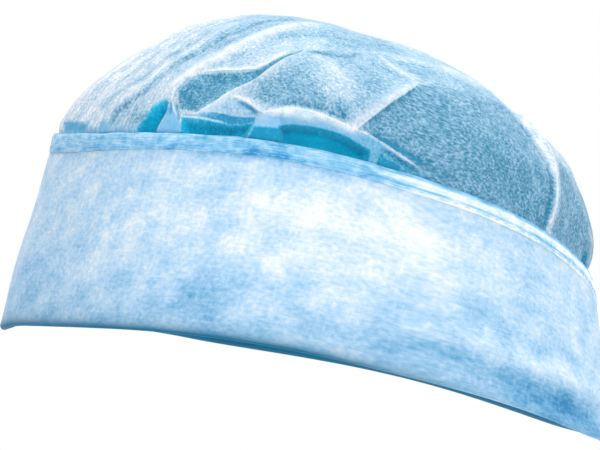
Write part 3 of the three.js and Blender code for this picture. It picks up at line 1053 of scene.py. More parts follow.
class FibreWeb:
    """Shader node group of a nonwoven's loose fibres, clouds and the relief they make."""

    NAME = "fibre web"
    PER_METRE = 1000.0  # the sizes are in millimetres and the places in metres
    INPUTS = {
        "Fibre Width": 0.5, "Fibre Length": 6.0, "Cloud Size": 6.0, "Speck Size": 0.6,
        "Angle A": 0.2, "Angle B": 1.3, "Angle C": 2.3,
    }
    ANGLES = ("Angle A", "Angle B", "Angle C")
    THREADS = (0.48, 0.78)  # the noise between which a fibre fades in
    SPOTS = (("Clouds", 3.0, 0.32), ("Specks", 1.5, 0.2))  # name, detail and where they fade in
    SPOT_ROUGHNESS = 0.6

    def __init__(self) -> None:
        """Builds the group once."""
        self.tree = bpy.data.node_groups.new(self.NAME, "ShaderNodeTree")
        self._sockets()
        self._nodes()

    def _sockets(self) -> None:
        """Names the group's inputs and outputs."""
        face = self.tree.interface
        face.new_socket("Cloth", in_out="INPUT", socket_type="NodeSocketVector")
        for name, value in self.INPUTS.items():
            socket = face.new_socket(name, in_out="INPUT", socket_type="NodeSocketFloat")
            socket.default_value = value
        for name in ("Fibres", "Clouds", "Specks"):
            face.new_socket(name, in_out="OUTPUT", socket_type="NodeSocketFloat")

    def _nodes(self) -> None:
        """Three layers of drawn-out noise, each turned its own way, and two of plain noise."""
        net = Net(self.tree)
        source = self.tree.nodes.new("NodeGroupInput").outputs
        sink = self.tree.nodes.new("NodeGroupOutput")
        across = net.math("DIVIDE", self.PER_METRE, source["Fibre Width"])
        along = net.math("DIVIDE", self.PER_METRE, source["Fibre Length"])
        scale = net.add("CombineXYZ", {"X": along, "Y": across, "Z": across}).outputs[0]
        layers = []
        for angle in self.ANGLES:
            turn = {"Vector": source["Cloth"], "Angle": source[angle]}
            turned = net.add("VectorRotate", turn, rotation_type="Z_AXIS").outputs[0]
            drawn = net.add("VectorMath", {0: turned, 1: scale}, operation="MULTIPLY").outputs[0]
            layers.append(net.noise({"Scale": 1.0, "Detail": 2.0, "Vector": drawn}))
        thread = net.math("MAXIMUM", net.math("MAXIMUM", layers[0], layers[1]), layers[2])
        net.feed(sink, {"Fibres": net.spread(thread, *self.THREADS)})

        for name, detail, low in self.SPOTS:
            scale = net.math("DIVIDE", self.PER_METRE, source[f"{name[:-1]} Size"])
            spots = net.noise({
                "Detail": detail, "Roughness": self.SPOT_ROUGHNESS, "Vector": source["Cloth"],
                "Scale": scale,
            })
            net.feed(sink, {name: net.spread(spots, low, 1.0 - low)})


def new_material(name: str) -> tuple[bpy.types.Material, Net, bpy.types.Node]:
    """A material, the net of its nodes and its main shader."""
    material = bpy.data.materials.new(name)
    material.use_nodes = True
    return material, Net(material.node_tree), material.node_tree.nodes["Principled BSDF"]


def plain_material(name: str, colour: Colour, roughness: float) -> bpy.types.Material:
    """A plain matt material."""
    material, net, shader = new_material(name)
    net.feed(shader, {"Base Color": (*colour, 1.0), "Roughness": roughness})
    return material


@dataclass(frozen=True)
class ClothFinish:
    """A nonwoven cloth, coloured by how much of it there is, with painted light and shade where a piece
    adds them: thin cloth is dark, two layers are white.
    """

    name: str
    colours: Ramp
    web: Web
    fibre_width: float
    fibre_length: float
    cloud_size: float
    speck_size: float
    fibre_share: float
    cloud_share: float
    speck_share: float
    roughness: float = 0.8
    sheen: float = 0.3
    sheen_roughness: float = 0.5
    specular: float = 0.1
    relief: float = 0.15
    relief_strength: float = 0.6
    let_through: float = 0.15

    def make(self, group: bpy.types.NodeTree) -> bpy.types.Material:
        """Builds the material.

        Args:
            group: the fibre web.

        Returns:
            The finished material.
        """
        material, net, shader = new_material(self.name)
        angles = {name: math.radians(angle) for name, angle in zip(FibreWeb.ANGLES, self.web.value)}
        inputs = {
            "Fibre Width": self.fibre_width, "Fibre Length": self.fibre_length,
            "Cloud Size": self.cloud_size, "Speck Size": self.speck_size, **angles,
            "Cloth": net.attribute("cloth", "Vector"),
        }
        web = net.add("Group", inputs, node_tree=group).outputs
        colour = self.colour(net, self.amount(net, web))
        relief = {
            "Strength": self.relief_strength, "Distance": self.relief * MM, "Height": web["Fibres"],
        }
        net.feed(shader, {
            "Base Color": colour,
            "Normal": net.add("Bump", relief).outputs["Normal"],
            "Roughness": self.roughness,
            "Sheen Weight": self.sheen,
            "Sheen Roughness": self.sheen_roughness,
            "Specular IOR Level": self.specular,
        })
        glow = net.add("BsdfTranslucent", {"Color": colour}).outputs[0]
        surface = net.shaders_mixed(self.let_through, shader.outputs[0], glow)
        net.feed(net.tree.nodes["Material Output"], {"Surface": surface})
        return material

    def amount(self, net: Net, web: bpy.types.NodeOutputs) -> Socket:
        """How much cloth shows at a place, with the piece's painted light and shade: the piece's own share,
        and the web's on top.
        """
        return net.math("ADD", net.attribute("cover"), self.unevenness(net, web))

    def unevenness(self, net: Net, web: bpy.types.NodeOutputs) -> Socket:
        """How much more or less cloth the web has at a place."""
        total = net.math("MULTIPLY", net.centred(web["Clouds"]), self.cloud_share)
        for name, share in (("Fibres", self.fibre_share), ("Specks", self.speck_share)):
            total = net.math("MULTIPLY_ADD", net.centred(web[name]), share, total)
        return total

    def colour(self, net: Net, amount: Socket) -> Socket:
        """The colour of an amount of cloth."""
        return net.ramp(self.colours, amount)


@dataclass(frozen=True)
class SheerFinish(ClothFinish):
    """The crown's thin cloth, streaked where it is gathered and white on its crests, where two layers of
    cloth and a painted highlight show.

    fair are the colours where it is smooth, deep those of the painted shade in its recesses, and
    hushed how much less it is speckled where it is smooth.
    """

    fair: Ramp = ()
    deep: Ramp = ()
    hushed: float = 0.8
    streak_width: float = 1.8
    streak_share: float = 0.5
    line_width: float = 0.26
    line_edge: float = 1.6
    doubled: float = 0.94

    def amount(self, net: Net, web: bpy.types.NodeOutputs) -> Socket:
        """Adds the streaks, the crests' white from two layers and painted highlight, and the painted
        highlight lines along them.
        """
        loud = net.math("MULTIPLY_ADD", net.attribute("quiet"), -self.hushed, 1.0)
        cover = net.math("MULTIPLY_ADD", self.unevenness(net, web), loud, net.attribute("cover"))
        scale = 1.0 / (self.streak_width * MM)
        pull = net.attribute("pull", "Vector")
        streaks = net.centred(net.noise({"Scale": scale, "Detail": 2.0, "Vector": pull}))
        pulled = net.math("MULTIPLY", streaks, net.attribute("gathered"))
        pulled = net.math("MULTIPLY", pulled, loud)
        cover = net.math("MULTIPLY_ADD", pulled, 2.0 * self.streak_share, cover)

        uneven = net.math("MULTIPLY_ADD", web["Specks"], 0.4, 0.75)
        # the crests' white: two layers of cloth and painted highlight
        crest = net.math("MULTIPLY", net.attribute("crest"), uneven)
        cover = net.towards(net.clipped(crest), cover, self.doubled)
        # sharp painted highlight lines along the crests
        wide = net.math("MULTIPLY_ADD", web["Fibres"], 0.5 * self.line_width, self.line_width)
        gone = net.math("DIVIDE", net.attribute("beside"), wide)
        line = net.clipped(net.math("SUBTRACT", self.line_edge, gone))
        line = net.math("MULTIPLY", line, net.attribute("line"))
        return net.towards(net.math("MULTIPLY", line, uneven), cover, self.doubled)

    def colour(self, net: Net, amount: Socket) -> Socket:
        """Mixes the colours of smooth cloth and of the recesses' painted shade into the sheet's."""
        colour = super().colour(net, amount)
        for name, colours in (("quiet", self.fair), ("teal", self.deep)):
            colour = net.mixed(net.attribute(name), colour, net.ramp(colours, amount))
        return colour


@dataclass(frozen=True)
class BandFinish(ClothFinish):
    """The headband's cloth, with painted shade along the rim, where it curls in."""

    rim_colour: Colour = linear(0, 108, 142)
    rim_reach: float = 2.0

    def colour(self, net: Net, amount: Socket) -> Socket:
        """Fades the rim's painted shade out with the height over the rim."""
        fade = net.math("POWER", math.exp(-1.0 / self.rim_reach), net.attribute("above"))
        share = net.math("MULTIPLY", fade, net.attribute("rim"))
        return net.mixed(share, super().colour(net, amount), self.rim_colour)


CROWN_FINISH = SheerFinish(
    name="crown_cloth",
    colours=(
        (0.0, linear(48, 130, 164)),
        (0.22, linear(108, 163, 192)),
        (0.42, linear(150, 191, 214)),
        (0.62, linear(184, 207, 223)),
        (0.82, linear(222, 230, 238)),
        (1.0, linear(254, 250, 249)),
    ),
    fair=(
        (0.0, linear(40, 150, 200)),
        (0.25, linear(96, 180, 222)),
        (0.5, linear(152, 204, 236)),
        (0.75, linear(208, 230, 243)),
        (1.0, linear(252, 251, 250)),
    ),
    # colours of the painted shade in the recesses and hollows
    deep=(
        (0.0, linear(0, 160, 198)),
        (0.25, linear(0, 188, 224)),
        (0.5, linear(64, 206, 236)),
        (0.75, linear(150, 222, 242)),
        (1.0, linear(244, 248, 250)),
    ),
    web=Web.RANDOM,
    fibre_width=0.6,
    fibre_length=5.0,
    cloud_size=7.0,
    speck_size=1.45,
    fibre_share=0.3,
    cloud_share=0.2,
    speck_share=0.64,
    sheen=0.3,
)
BAND_FINISH = BandFinish(
    name="band_cloth",
    colours=(
        (0.0, linear(60, 140, 190)),
        (0.22, linear(118, 178, 216)),
        (0.5, linear(178, 213, 238)),
        (0.76, linear(229, 238, 242)),
        (1.0, linear(255, 250, 240)),
    ),
    web=Web.SQUARE,
    fibre_width=0.7,
    fibre_length=8.0,
    cloud_size=9.0,
    speck_size=1.4,
    fibre_share=0.1,
    cloud_share=0.26,
    speck_share=0.28,
    sheen=0.12,
    relief=0.1,
)
BINDING_FINISH = ClothFinish(
    name="binding_cloth",
    colours=(
        (0.0, linear(52, 144, 200)),
        (0.3, linear(120, 188, 226)),
        (0.55, linear(164, 210, 236)),
        (0.8, linear(210, 230, 242)),
        (1.0, linear(248, 250, 250)),
    ),
    web=Web.ALONG,
    fibre_width=0.4,
    fibre_length=14.0,
    cloud_size=5.0,
    speck_size=1.4,
    fibre_share=0.55,
    cloud_share=0.45,
    speck_share=0.15,
    relief=0.1,
    let_through=0.05,
)


THREAD_COLOUR, THREAD_ROUGHNESS = linear(150, 200, 232), 0.6


# ---- Pieces ------------------------------------------------------------------------------------


@dataclass(frozen=True)
class Crumple:
    """Small uneven relief round the head.

    waves is how many noise cells a radian holds, tall how high one is, seed its pattern and height
    how far it stands out.
    """

    waves: float
    tall: float
    seed: float
    height: float

    def at(self, around: Array, level: Array) -> Array:
        """The relief at each angle and level."""
        return self.height * grain(on_ring(around, self.waves, level / self.tall), self.seed)


def swept(section: Array, columns: int) -> tuple[Array, Array, Array, Array]:
    """Repeats a section round the head.

    Args:
        section: rows of (share, rise, out).
        columns: how often.

    Returns:
        The angle around, share, rise and out of each vertex, section by section.
    """
    around = np.repeat(np.arange(columns) * 360.0 / columns, len(section))
    share, rise, out = np.tile(section, (columns, 1)).T
    return around, share, rise, out


def notches(places: tuple[Station, ...], around: Array) -> Array:
    """The sum of a bell curve at each angle, for (angle, reach) places."""
    return sum(bell(turn_between(around, middle), reach) for middle, reach in places)


@dataclass
class Crown:
    """The thin sheet over the head, gathered into the seam."""

    form: CapForm
    folds: Folds
    columns: int = 160
    rows: int = 50
    allowance_rows: int = 5
    allowance: float = 0.09  # the seam allowance in the flat sheet, whose radius is 1
    allowance_scale: float = 100.0  # millimetres for a radius of 1 there
    thickness: float = 0.5

    REFINED_WITHIN = (5.2, 1.75, 0.62)  # how near to a fold the faces are divided, round by round
    REFINED_FROM, REFINED_TO = -1.0, 86.0  # and between which angles up
    CLOTH_STEP = 1.6  # millimetres of cloth for a degree up
    PULL_LENGTH = 4.0  # how many times longer than wide a streak is
    GATHERS = Crumple(waves=17.0, tall=24.0, seed=3.0, height=0.8)
    GATHERS_REACH = 22.0  # angle up over which the gathers fade
    CRUMPLE_SIZE, CRUMPLE_SEED, CRUMPLE_HEIGHT = 13.0, 8.0, 0.5
    CRINKLE_FREE = 4.0  # angle up from which the crinkle has its whole height
    STREAKS = 0.15  # strength of the streaks all over
    FRONT_STREAKS, FRONT_AT = 0.85, ((8.0, 30.0),)
    FOOT_STREAKS, FOOT_REACH = 0.2, 14.0
    STREAKS_FADE = (60.0, 80.0)

    def build(self) -> bpy.types.Object:
        """Lays the sheet out flat, refines it where it folds and lifts it onto the head."""
        sheet = self._flat_sheet()
        for reach in self.REFINED_WITHIN:
            self._refine(sheet, reach)
        sheet.verts.index_update()
        points = np.array([v.co[:2] for v in sheet.verts])
        faces = [tuple(v.index for v in f.verts) for f in sheet.faces]
        sheet.free()
        around, up, rise = self._places(points)
        shape = self.folds.shape(around, np.maximum(up, 0.0))
        piece = make_piece("crown_sheet", self._lift(around, up, rise, shape), faces)
        # the attributes carry the valleys' and recesses' painted shade, and the crests' white from two
        # layers and painted highlight
        for name, values in (
            ("cloth", self._cloth_places(around, up) * MM),
            ("pull", self._pull_places(around, up) * MM),
            ("gathered", self._gathered(around, up)),
            ("cover", np.clip(shape.cover, 0.0, 1.0)),
            ("teal", shape.teal),
            ("quiet", shape.quiet),
            ("crest", np.clip(shape.crest, 0.0, 1.0)),
            ("line", shape.line),
            ("beside", shape.beside),
        ):
            store(piece, name, values)
        add_thickness(piece, self.thickness)
        return piece

    def _flat_sheet(self) -> bmesh.types.BMesh:
        """The sheet as a round grid of radius 1 at the binding, with the seam allowance outside."""
        sheet = bmesh.new()
        radii = [row / self.rows for row in range(1, self.rows + 1)]
        for row in range(self.allowance_rows):
            radii.append(1.0 + self.allowance * (row + 1) / self.allowance_rows)
        middle = sheet.verts.new((0.0, 0.0, 0.0))
        rings = []
        for radius in radii:
            ring = []
            for column in range(self.columns):
                angle = 2.0 * math.pi * column / self.columns
                ring.append(sheet.verts.new((radius * math.sin(angle), -radius * math.cos(angle), 0.0)))
            rings.append(ring)
        for column in range(self.columns):
            after = (column + 1) % self.columns
            sheet.faces.new((middle, rings[0][column], rings[0][after]))
            for inner, outer in zip(rings, rings[1:]):
                sheet.faces.new((inner[column], outer[column], outer[after], inner[after]))
        return sheet

    def _places(self, points: Array) -> tuple[Array, Array, Array]:
        """Angles around and up of points of the flat sheet, and heights in the allowance."""
        radius = np.hypot(points[:, 0], points[:, 1])
        around = np.degrees(np.arctan2(points[:, 0], -points[:, 1]))
        up = APEX * (1.0 - radius)
        rise = BINDING_HEIGHT + SEWN_GAP - np.maximum(radius - 1.0, 0.0) * self.allowance_scale
        return around, up, rise

    def _refine(self, sheet: bmesh.types.BMesh, reach: float) -> None:
        """Divides the faces whose middle is within reach of a fold."""
        sheet.faces.ensure_lookup_table()
        middles = np.array([f.calc_center_median()[:2] for f in sheet.faces])
        around, up, _ = self._places(middles)
        near = self.folds.shape(around, np.maximum(up, 0.0)).near
        wanted = (near < reach) & (up > self.REFINED_FROM) & (up < self.REFINED_TO)
        edges = {e for f, want in zip(sheet.faces, wanted) if want for e in f.edges}
        bmesh.ops.subdivide_edges(sheet, edges=list(edges), cuts=1, use_grid_fill=True)

    def _lift(self, around: Array, up: Array, rise: Array, shape: SheetShape) -> Array:
        """Places of the sheet's vertices on the head."""
        on_dome = np.maximum(up, 0.0)
        normal, upward = self.form.dome_frame(around, on_dome)
        points = self.form.dome(around, on_dome)
        stand = shape.stand + self._crinkle(around, on_dome)
        points = points + normal * stand[:, None] - upward * shape.lean[:, None]
        share = np.ones(len(up))
        hidden = self.form.wall(around, share, rise, np.full(len(up), -WALL - SEWN_GAP))
        return np.where((up < 0.0)[:, None], hidden, points)

    def _crinkle(self, around: Array, up: Array) -> Array:
        """Small uneven relief: gathers that climb from the seam, and a crumple all over."""
        gathers = self.GATHERS.at(around, up) * np.exp(-up / self.GATHERS_REACH)
        crumple = grain(self.form.dome(around, up) / self.CRUMPLE_SIZE, self.CRUMPLE_SEED)
        return (gathers + crumple * self.CRUMPLE_HEIGHT) * ease(up, 0.0, self.CRINKLE_FREE)

    def _cloth_places(self, around: Array, up: Array) -> Array:
        """Places in the cut cloth, in millimetres: straight out from the apex to the seam."""
        return on_ring(around, (APEX - up) * self.CLOTH_STEP, 0.0) * (1.0, -1.0, 1.0)

    def _pull_places(self, around: Array, up: Array) -> Array:
        """Places along and across the way the gathers run, from the seam to the apex."""
        return on_ring(around, self.form.seam_half_length, up * self.CLOTH_STEP / self.PULL_LENGTH)

    def _gathered(self, around: Array, up: Array) -> Array:
        """How strongly the cloth is pulled into streaks: most at the forehead."""
        front = self.FRONT_STREAKS * notches(self.FRONT_AT, around)
        foot = self.FOOT_STREAKS * np.exp(-np.maximum(up, 0.0) / self.FOOT_REACH)
        return np.clip(self.STREAKS + front + foot, 0.0, 1.0) * (1.0 - ease(up, *self.STREAKS_FADE))


@dataclass
class Headband:
    """The tall band, turned up inside at its rim to a hem."""

    form: CapForm
    columns: int = 320
    spacing: float = 2.0
    thickness: float = 0.7
    curl: float = 1.25
    hem_gap: float = 0.9  # from the band's middle to the hem's

    HEM_SHADE = 4.0  # how far the rim's painted shade reaches up inside
    INSIDE = (0.9, 1.8)  # how far in the cloth is where it counts as inside
    # strength of the painted shade along the rim
    RIM_DARK = 0.97
    PLAIN_RIM = ((92.0, 18.0), (160.0, 15.0))  # where the rim's painted shade ends and starts, and how softly
    SQUEEZE = 0.75  # the web looks longer along the band than across it
    SOFT = Crumple(waves=5.0, tall=22.0, seed=5.0, height=0.5)
    FINE = Crumple(waves=16.0, tall=7.0, seed=6.0, height=0.12)
    PUCKER = Crumple(waves=14.0, tall=60.0, seed=7.0, height=0.35)
    PUCKER_REACH = 8.0
    LIP, LIP_REACH = 0.22, 1.4  # how far the cloth swells out at the binding
    CLOUD_SIZE = 9.0  # size of the noise that makes the clouds uneven
    CLOUD_STRAY = ((5.0, 31.0), (4.0, 32.0))  # how far they stray along and up, and the seeds
    COVER = 0.57
    # painted shade, bluer towards the rim: its strength and reach
    THIN_RIM, THIN_RIM_REACH = 0.12, 17.0
    # bluer just under the binding round 60 degrees: how much, where and how far down
    THIN_TOP, THIN_TOP_AT, THIN_TOP_REACH = 0.3, ((60.0, 22.0),), 2.2

    def build(self) -> bpy.types.Object:
        """Lofts the band's folded section round the head."""
        path = self._path()
        rows = thick_section(path, self.thickness)
        around, share, rise, out = swept(rows, self.columns)
        whole = self.form.seam_level(around) - self.form.rim_level(around)
        height = share * whole + rise
        out = out + self._crinkle(around, height, whole)
        points = self.form.wall(around, share, rise, out)
        piece = make_piece("headband_cloth", points, ring_of_sections(self.columns, len(rows)))
        length = self.SQUEEZE * np.radians(turn_between(around, 0.0)) * self.form.seam_half_length
        run = np.arange(len(path)) * self.spacing
        along_cut = np.tile(np.concatenate([run[::-1], run]), self.columns)
        store_round(piece, "cloth", np.stack([length, along_cut, 0.0 * length], -1) * MM)
        store(piece, "cover", self._cover(around, height))
        # painted shade along the rim: it fades with the height over the rim, reaches higher inside and is
        # left out between about 92 and 160 degrees
        inside = ease(-out, *self.INSIDE)
        store(piece, "above", np.maximum(height - 0.2 - self.HEM_SHADE * inside, 0.0))
        gone, back = (ease(turn_between(around, at), -soft, soft) for at, soft in self.PLAIN_RIM)
        store(piece, "rim", self.RIM_DARK * (1.0 - gone * (1.0 - back)))
        return piece

    def _path(self) -> Array:
        """The cloth's path: down the outside, round the curl and up inside to the hem's edge."""
        middle = -self.thickness / 2.0
        turn = [
            (0.0, self.curl * (1.0 - math.sin(a)), middle - self.curl * (1.0 - math.cos(a)))
            for a in np.radians(np.arange(0.0, 181.0, 22.5))
        ]
        hem = middle - self.hem_gap
        inside = [(0.0, 4.0, hem - 1.0), (0.0, 9.0, hem - 0.1), (0.0, HEM_HEIGHT, hem)]
        return smooth_path([(1.0, -SEWN_GAP, middle), *turn, *inside], self.spacing)

    def _crinkle(self, around: Array, height: Array, whole: Array) -> Array:
        """Small uneven relief, and puckers just under the binding."""
        below = whole - height
        even = self.SOFT.at(around, height) + self.FINE.at(around, height)
        pucker = self.PUCKER.at(around, height) * np.exp(-below / self.PUCKER_REACH)
        lip = self.LIP * bell(np.maximum(below, 0.0), self.LIP_REACH) * (height > 0.0)
        return even * ease(below, 0.0, 6.0) + pucker * ease(below, 0.5, 3.0) + lip

    def _cover(self, around: Array, height: Array) -> Array:
        """How much cloth there is, with painted light and shade: a painted highlight whitest at the
        wearer's left, painted shade bluer towards the rim, and painted light and shade on the ripples and a
        soft fold.
        """
        length = self.form.seam_half_length
        at = on_ring(around, length, height) / self.CLOUD_SIZE
        sideways, upwards = (far * grain(at, seed) for far, seed in self.CLOUD_STRAY)
        # painted shade towards the rim
        cover = self.COVER - self.THIN_RIM * bell(np.maximum(height, 0.0), self.THIN_RIM_REACH)
        # painted light and shade: proud ripples lighter, sunken ones darker
        cover += 0.08 * self.form.ripple(around, height / SHARE_HEIGHT)
        # lighter and darker places, among them a painted highlight and a fold's painted light and shade
        for one in CLOUDS:
            uneven = min(1.0, one.across / 6.0)
            along = np.radians(turn_between(around, one.around)) * length + sideways * uneven
            across = height - one.height + upwards * uneven
            cover += one.change * bell(along, one.along) * bell(across, one.across)
        # bluer just under the binding
        below = self.form.seam_level(around) - self.form.rim_level(around) - height
        top = bell(np.maximum(below, 0.0), self.THIN_TOP_REACH)
        cover -= self.THIN_TOP * notches(self.THIN_TOP_AT, around) * top
        return np.clip(cover, 0.0, 1.0)


@dataclass
class SeamBinding:
    """The strip that covers the join, its two long edges turned under."""

    form: CapForm
    columns: int = 480
    thickness: float = 0.2
    path: tuple[Station, ...] = (
        (3.6, -1.3), (4.6, -1.25), (5.0, -0.8), (5.15, -0.2), (5.05, 0.25), (4.5, 0.52), (3.6, 0.6),
        (2.8, 0.55), (2.0, 0.46), (1.3, 0.42), (0.7, 0.38), (0.1, 0.33), (-0.35, 0.26), (-0.5, 0.18),
        (-0.35, 0.1), (0.4, 0.08), (1.4, 0.1),
    )

    PUCKER = Crumple(waves=22.0, tall=5.0, seed=11.0, height=0.12)
    UNEVEN_EDGE = Crumple(waves=12.0, tall=math.inf, seed=13.0, height=0.35)
    SAG, SAG_AT = 1.3, ((-12.0, 20.0),)  # how far its lower edge hangs down at the forehead
    COVER = 0.5
    BACK_FROM, BACK_SOFT = 84.0, 8.0  # the painted highlight on the roll starts here, this softly
    # strength of the painted highlight on the roll, and how much bluer its top edge is
    ROLL_WHITE, TOP_BLUE = 0.5, 0.16
    GROOVE_RISE, GROOVE_REACH = 1.3, 0.5  # the blue line under the roll, where its painted highlight stops
    TOP_EDGE = (3.6, 4.6)
    SPOT_DEPTH, SPOTS = 0.16, ((58.0, 7.0), (81.0, 5.0), (114.0, 5.0))
    EDGE_DEPTH, EDGE_SPOTS = 0.32, ((-6.0, 3.0), (11.0, 2.4), (37.0, 2.0), (57.0, 2.0), (64.0, 3.0))

    def build(self) -> bpy.types.Object:
        """Lofts the folded strip round the seam, and puckers it."""
        rows = thick_section(np.array([(0.0, rise, out) for rise, out in self.path]), self.thickness)
        around, _, rise, out = swept(rows, self.columns)
        flat_rise = rise
        out = out + self.PUCKER.at(around, rise) * ease(out, 0.1, 0.5)
        rise = rise + self.UNEVEN_EDGE.at(around, rise) * ease(rise, 2.5, 4.6)
        rise = rise - self.SAG * notches(self.SAG_AT, around) * (1.0 - ease(rise, 0.6, 2.6))
        points = self.form.wall(around, np.ones(len(around)), rise, out)
        piece = make_piece("binding_strip", points, ring_of_sections(self.columns, len(rows)))
        length = np.radians(turn_between(around, 0.0)) * self.form.seam_half_length
        store_round(piece, "cloth", np.stack([length, 2.0 * rise, 0.0 * rise], -1) * MM)
        store(piece, "cover", self._cover(around, flat_rise))
        return piece

    def _cover(self, around: Array, rise: Array) -> Array:
        """How much cloth there is: blue patches, a blue lower edge and a painted highlight on the roll at
        the back.
        """
        back = ease(turn_between(around, self.BACK_FROM), -self.BACK_SOFT, self.BACK_SOFT)
        back = back * (turn_between(around, 180.0) < 90.0)
        top = ease(rise, *self.TOP_EDGE)
        roll = (1.0 - bell(rise - self.GROOVE_RISE, self.GROOVE_REACH)) * (1.0 - top)
        # painted highlight on the roll at the back
        cover = self.COVER + back * (self.ROLL_WHITE * roll - self.TOP_BLUE * top)
        cover -= self.SPOT_DEPTH * notches(self.SPOTS, around) * (1.0 - ease(rise, 1.6, 3.2))
        return cover - self.EDGE_DEPTH * notches(self.EDGE_SPOTS, around) * bell(rise - 0.3, 0.8)


@dataclass
class StitchRow:
    """The threads that hold the binding: short stitches along its lower edge."""

    form: CapForm
    count: int = 186
    length: float = 2.0
    width: float = 0.24
    rise: float = 0.5
    out: float = 0.56

    SEGMENTS, RINGS = 8, 5

    def build(self) -> bpy.types.Object:
        """Makes every stitch and joins them."""
        stitches = []
        for number in range(self.count):
            around = np.array([number * 360.0 / self.count])
            place = self._place(around)
            ahead = self._place(around + 0.5) - self._place(around - 0.5)
            deselect_all()
            bpy.ops.mesh.primitive_uv_sphere_add(
                segments=self.SEGMENTS, ring_count=self.RINGS, radius=0.5 * MM,
                location=Vector(place * MM),
            )
            stitch = bpy.context.object
            stitch.scale = (self.width, self.width, self.length)
            stitch.rotation_euler = Vector(ahead).to_track_quat("Z", "Y").to_euler()
            stitches.append(stitch)
        deselect_all()
        for stitch in stitches:
            stitch.select_set(True)
        bpy.context.view_layer.objects.active = stitches[0]
        bpy.ops.object.join()
        bpy.ops.object.transform_apply(location=True, rotation=True, scale=True)
        bpy.ops.object.shade_smooth()
        row = bpy.context.object
        row.name = row.data.name = "stitch_row"
        deselect_all()
        return row

    def _place(self, around: Array) -> Array:
        """The middle of the thread at an angle."""
        one = np.ones(1)
        return self.form.wall(around, one, self.rise * one, self.out * one)[0]


# ---- Studio ------------------------------------------------------------------------------------


@dataclass(frozen=True)
class Lamp:
    """A square soft light that faces the cap."""

    name: str
    turn: float
    rise: float
    distance: float
    size: float
    power: float
    colour: Colour = (1.0, 1.0, 1.0)


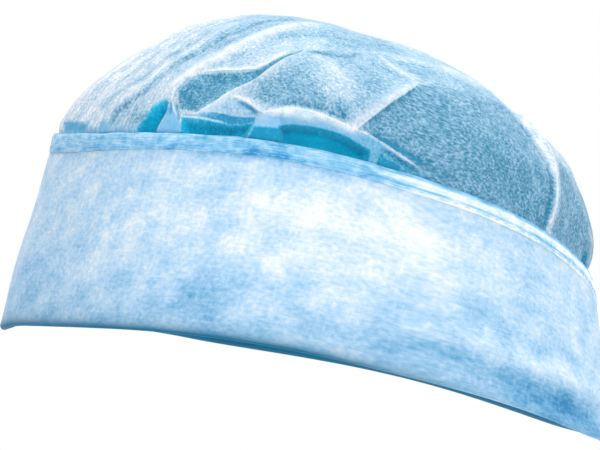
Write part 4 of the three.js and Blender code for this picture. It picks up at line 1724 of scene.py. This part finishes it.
@dataclass
class Studio:
    """Plain pale floor, soft lights and the camera, in metres."""

    floor_level: float = -0.3
    camera_turn: float = 65.4
    camera_rise: float = -4.5
    camera_roll: float = 12.8
    camera_distance: float = 1.2
    lens: float = 204.3
    aim_left: float = 0.0063
    aim_up: float = 0.0035
    target_height: float = 0.055
    lamps: tuple[Lamp, ...] = (
        Lamp("key", 82.0, 38.0, 1.6, 0.9, 16.0),
        Lamp("fill", 15.0, 5.0, 1.8, 1.2, 4.0, (0.92, 0.96, 1.0)),
        Lamp("crest left", -60.0, 58.0, 1.6, 0.9, 16.0),
        Lamp("crest right", 190.0, 50.0, 1.6, 0.9, 12.0),
    )

    FLOOR_SIZE = 8.0
    FLOOR_COLOUR = (0.9, 0.91, 0.92)
    SKY = ((0.0, (0.36, 0.38, 0.42)), (1.0, (0.9, 0.91, 0.94)))  # its colours from below to above
    SKY_SPAN = (-0.6, 0.9)
    SKY_STRENGTH = 0.62
    SENSOR_WIDTH = 36.0

    def build(self) -> None:
        """Makes the floor, the lights, the surroundings and the camera."""
        self._floor()
        self._world()
        for lamp in self.lamps:
            self._lamp(lamp)
        self._camera()
        bpy.context.scene.view_settings.view_transform = "Standard"

    def _direction(self, turn: float, rise: float) -> Vector:
        """The way from the cap to a point seen at that turn and height."""
        a, e = math.radians(turn), math.radians(rise)
        return Vector((math.sin(a) * math.cos(e), -math.cos(a) * math.cos(e), math.sin(e)))

    def _floor(self) -> None:
        """A plain pale floor, well below the cap, which a head would hold up."""
        deselect_all()
        bpy.ops.mesh.primitive_plane_add(size=self.FLOOR_SIZE, location=(0.0, 0.0, self.floor_level))
        floor = bpy.context.object
        floor.name = "studio_floor"
        floor.data.materials.append(plain_material("pale_floor", self.FLOOR_COLOUR, 0.9))

    def _world(self) -> None:
        """White surroundings for the camera, softer light from above for the cap."""
        world = bpy.data.worlds.new("studio")
        bpy.context.scene.world = world
        world.use_nodes = True
        net = Net(world.node_tree)
        place = net.add("TexCoord", {}).outputs["Generated"]
        height = net.add("SeparateXYZ", {0: place}).outputs["Z"]
        light = world.node_tree.nodes["Background"]
        colour = net.ramp(self.SKY, net.spread(height, *self.SKY_SPAN))
        net.feed(light, {"Color": colour, "Strength": self.SKY_STRENGTH})
        white = net.add("Background", {"Color": (1.0, 1.0, 1.0, 1.0), "Strength": 1.0})
        seen = net.add("LightPath", {}).outputs["Is Camera Ray"]
        surface = net.shaders_mixed(seen, light.outputs[0], white.outputs[0])
        net.feed(world.node_tree.nodes["World Output"], {"Surface": surface})

    def _lamp(self, lamp: Lamp) -> None:
        """Adds one soft light."""
        data = bpy.data.lights.new(lamp.name, "AREA")
        data.energy = lamp.power
        data.size = lamp.size
        data.color = lamp.colour
        piece = bpy.data.objects.new(lamp.name, data)
        bpy.context.scene.collection.objects.link(piece)
        way = self._direction(lamp.turn, lamp.rise)
        piece.location = Vector((0.0, 0.0, self.target_height)) + way * lamp.distance
        piece.rotation_euler = way.to_track_quat("Z", "Y").to_euler()

    def _camera(self) -> None:
        """A long lens, a little below the rim and rolled as the head tilts."""
        back = self._direction(self.camera_turn, self.camera_rise)
        level = Vector((0.0, 0.0, 1.0)).cross(back).normalized()
        upright = back.cross(level)
        roll = math.radians(self.camera_roll)
        right = math.cos(roll) * level + math.sin(roll) * upright
        up = math.cos(roll) * upright - math.sin(roll) * level
        aim = Vector((0.0, 0.0, self.target_height)) - right * self.aim_left + up * self.aim_up
        data = bpy.data.cameras.new("camera")
        data.lens = self.lens
        data.sensor_width = self.SENSOR_WIDTH
        camera = bpy.data.objects.new("camera", data)
        bpy.context.scene.collection.objects.link(camera)
        turned = Matrix((right, up, back)).transposed().to_4x4()
        camera.matrix_world = Matrix.Translation(aim + back * self.camera_distance) @ turned
        bpy.context.scene.camera = camera


# ---- Assembly ----------------------------------------------------------------------------------


def report(piece: bpy.types.Object) -> None:
    """Logs a finished piece's name and size."""
    triangles = sum(len(face.vertices) - 2 for face in piece.data.polygons)
    LOG.info("%s: %d triangles", piece.name, triangles)


def dress(piece: bpy.types.Object, node: str, material: bpy.types.Material) -> None:
    """Gives a piece its material and puts it in the place of its plain node."""
    piece.data.materials.append(material)
    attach(piece, "root")
    if node:
        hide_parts(node)
    report(piece)


def main() -> None:
    """Builds the cap on its frame, dresses it and lights it."""
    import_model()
    form = CapForm()
    web = FibreWeb().tree

    crown = Crown(form, Folds(form)).build()
    band = Headband(form).build()
    binding = SeamBinding(form).build()
    stitches = StitchRow(form).build()
    dress(crown, "crown", CROWN_FINISH.make(web))
    dress(band, "headband", BAND_FINISH.make(web))
    dress(binding, "seam_binding", BINDING_FINISH.make(web))
    dress(stitches, "", plain_material("thread", THREAD_COLOUR, THREAD_ROUGHNESS))

    Studio().build()


if __name__ == "__main__":
    main()
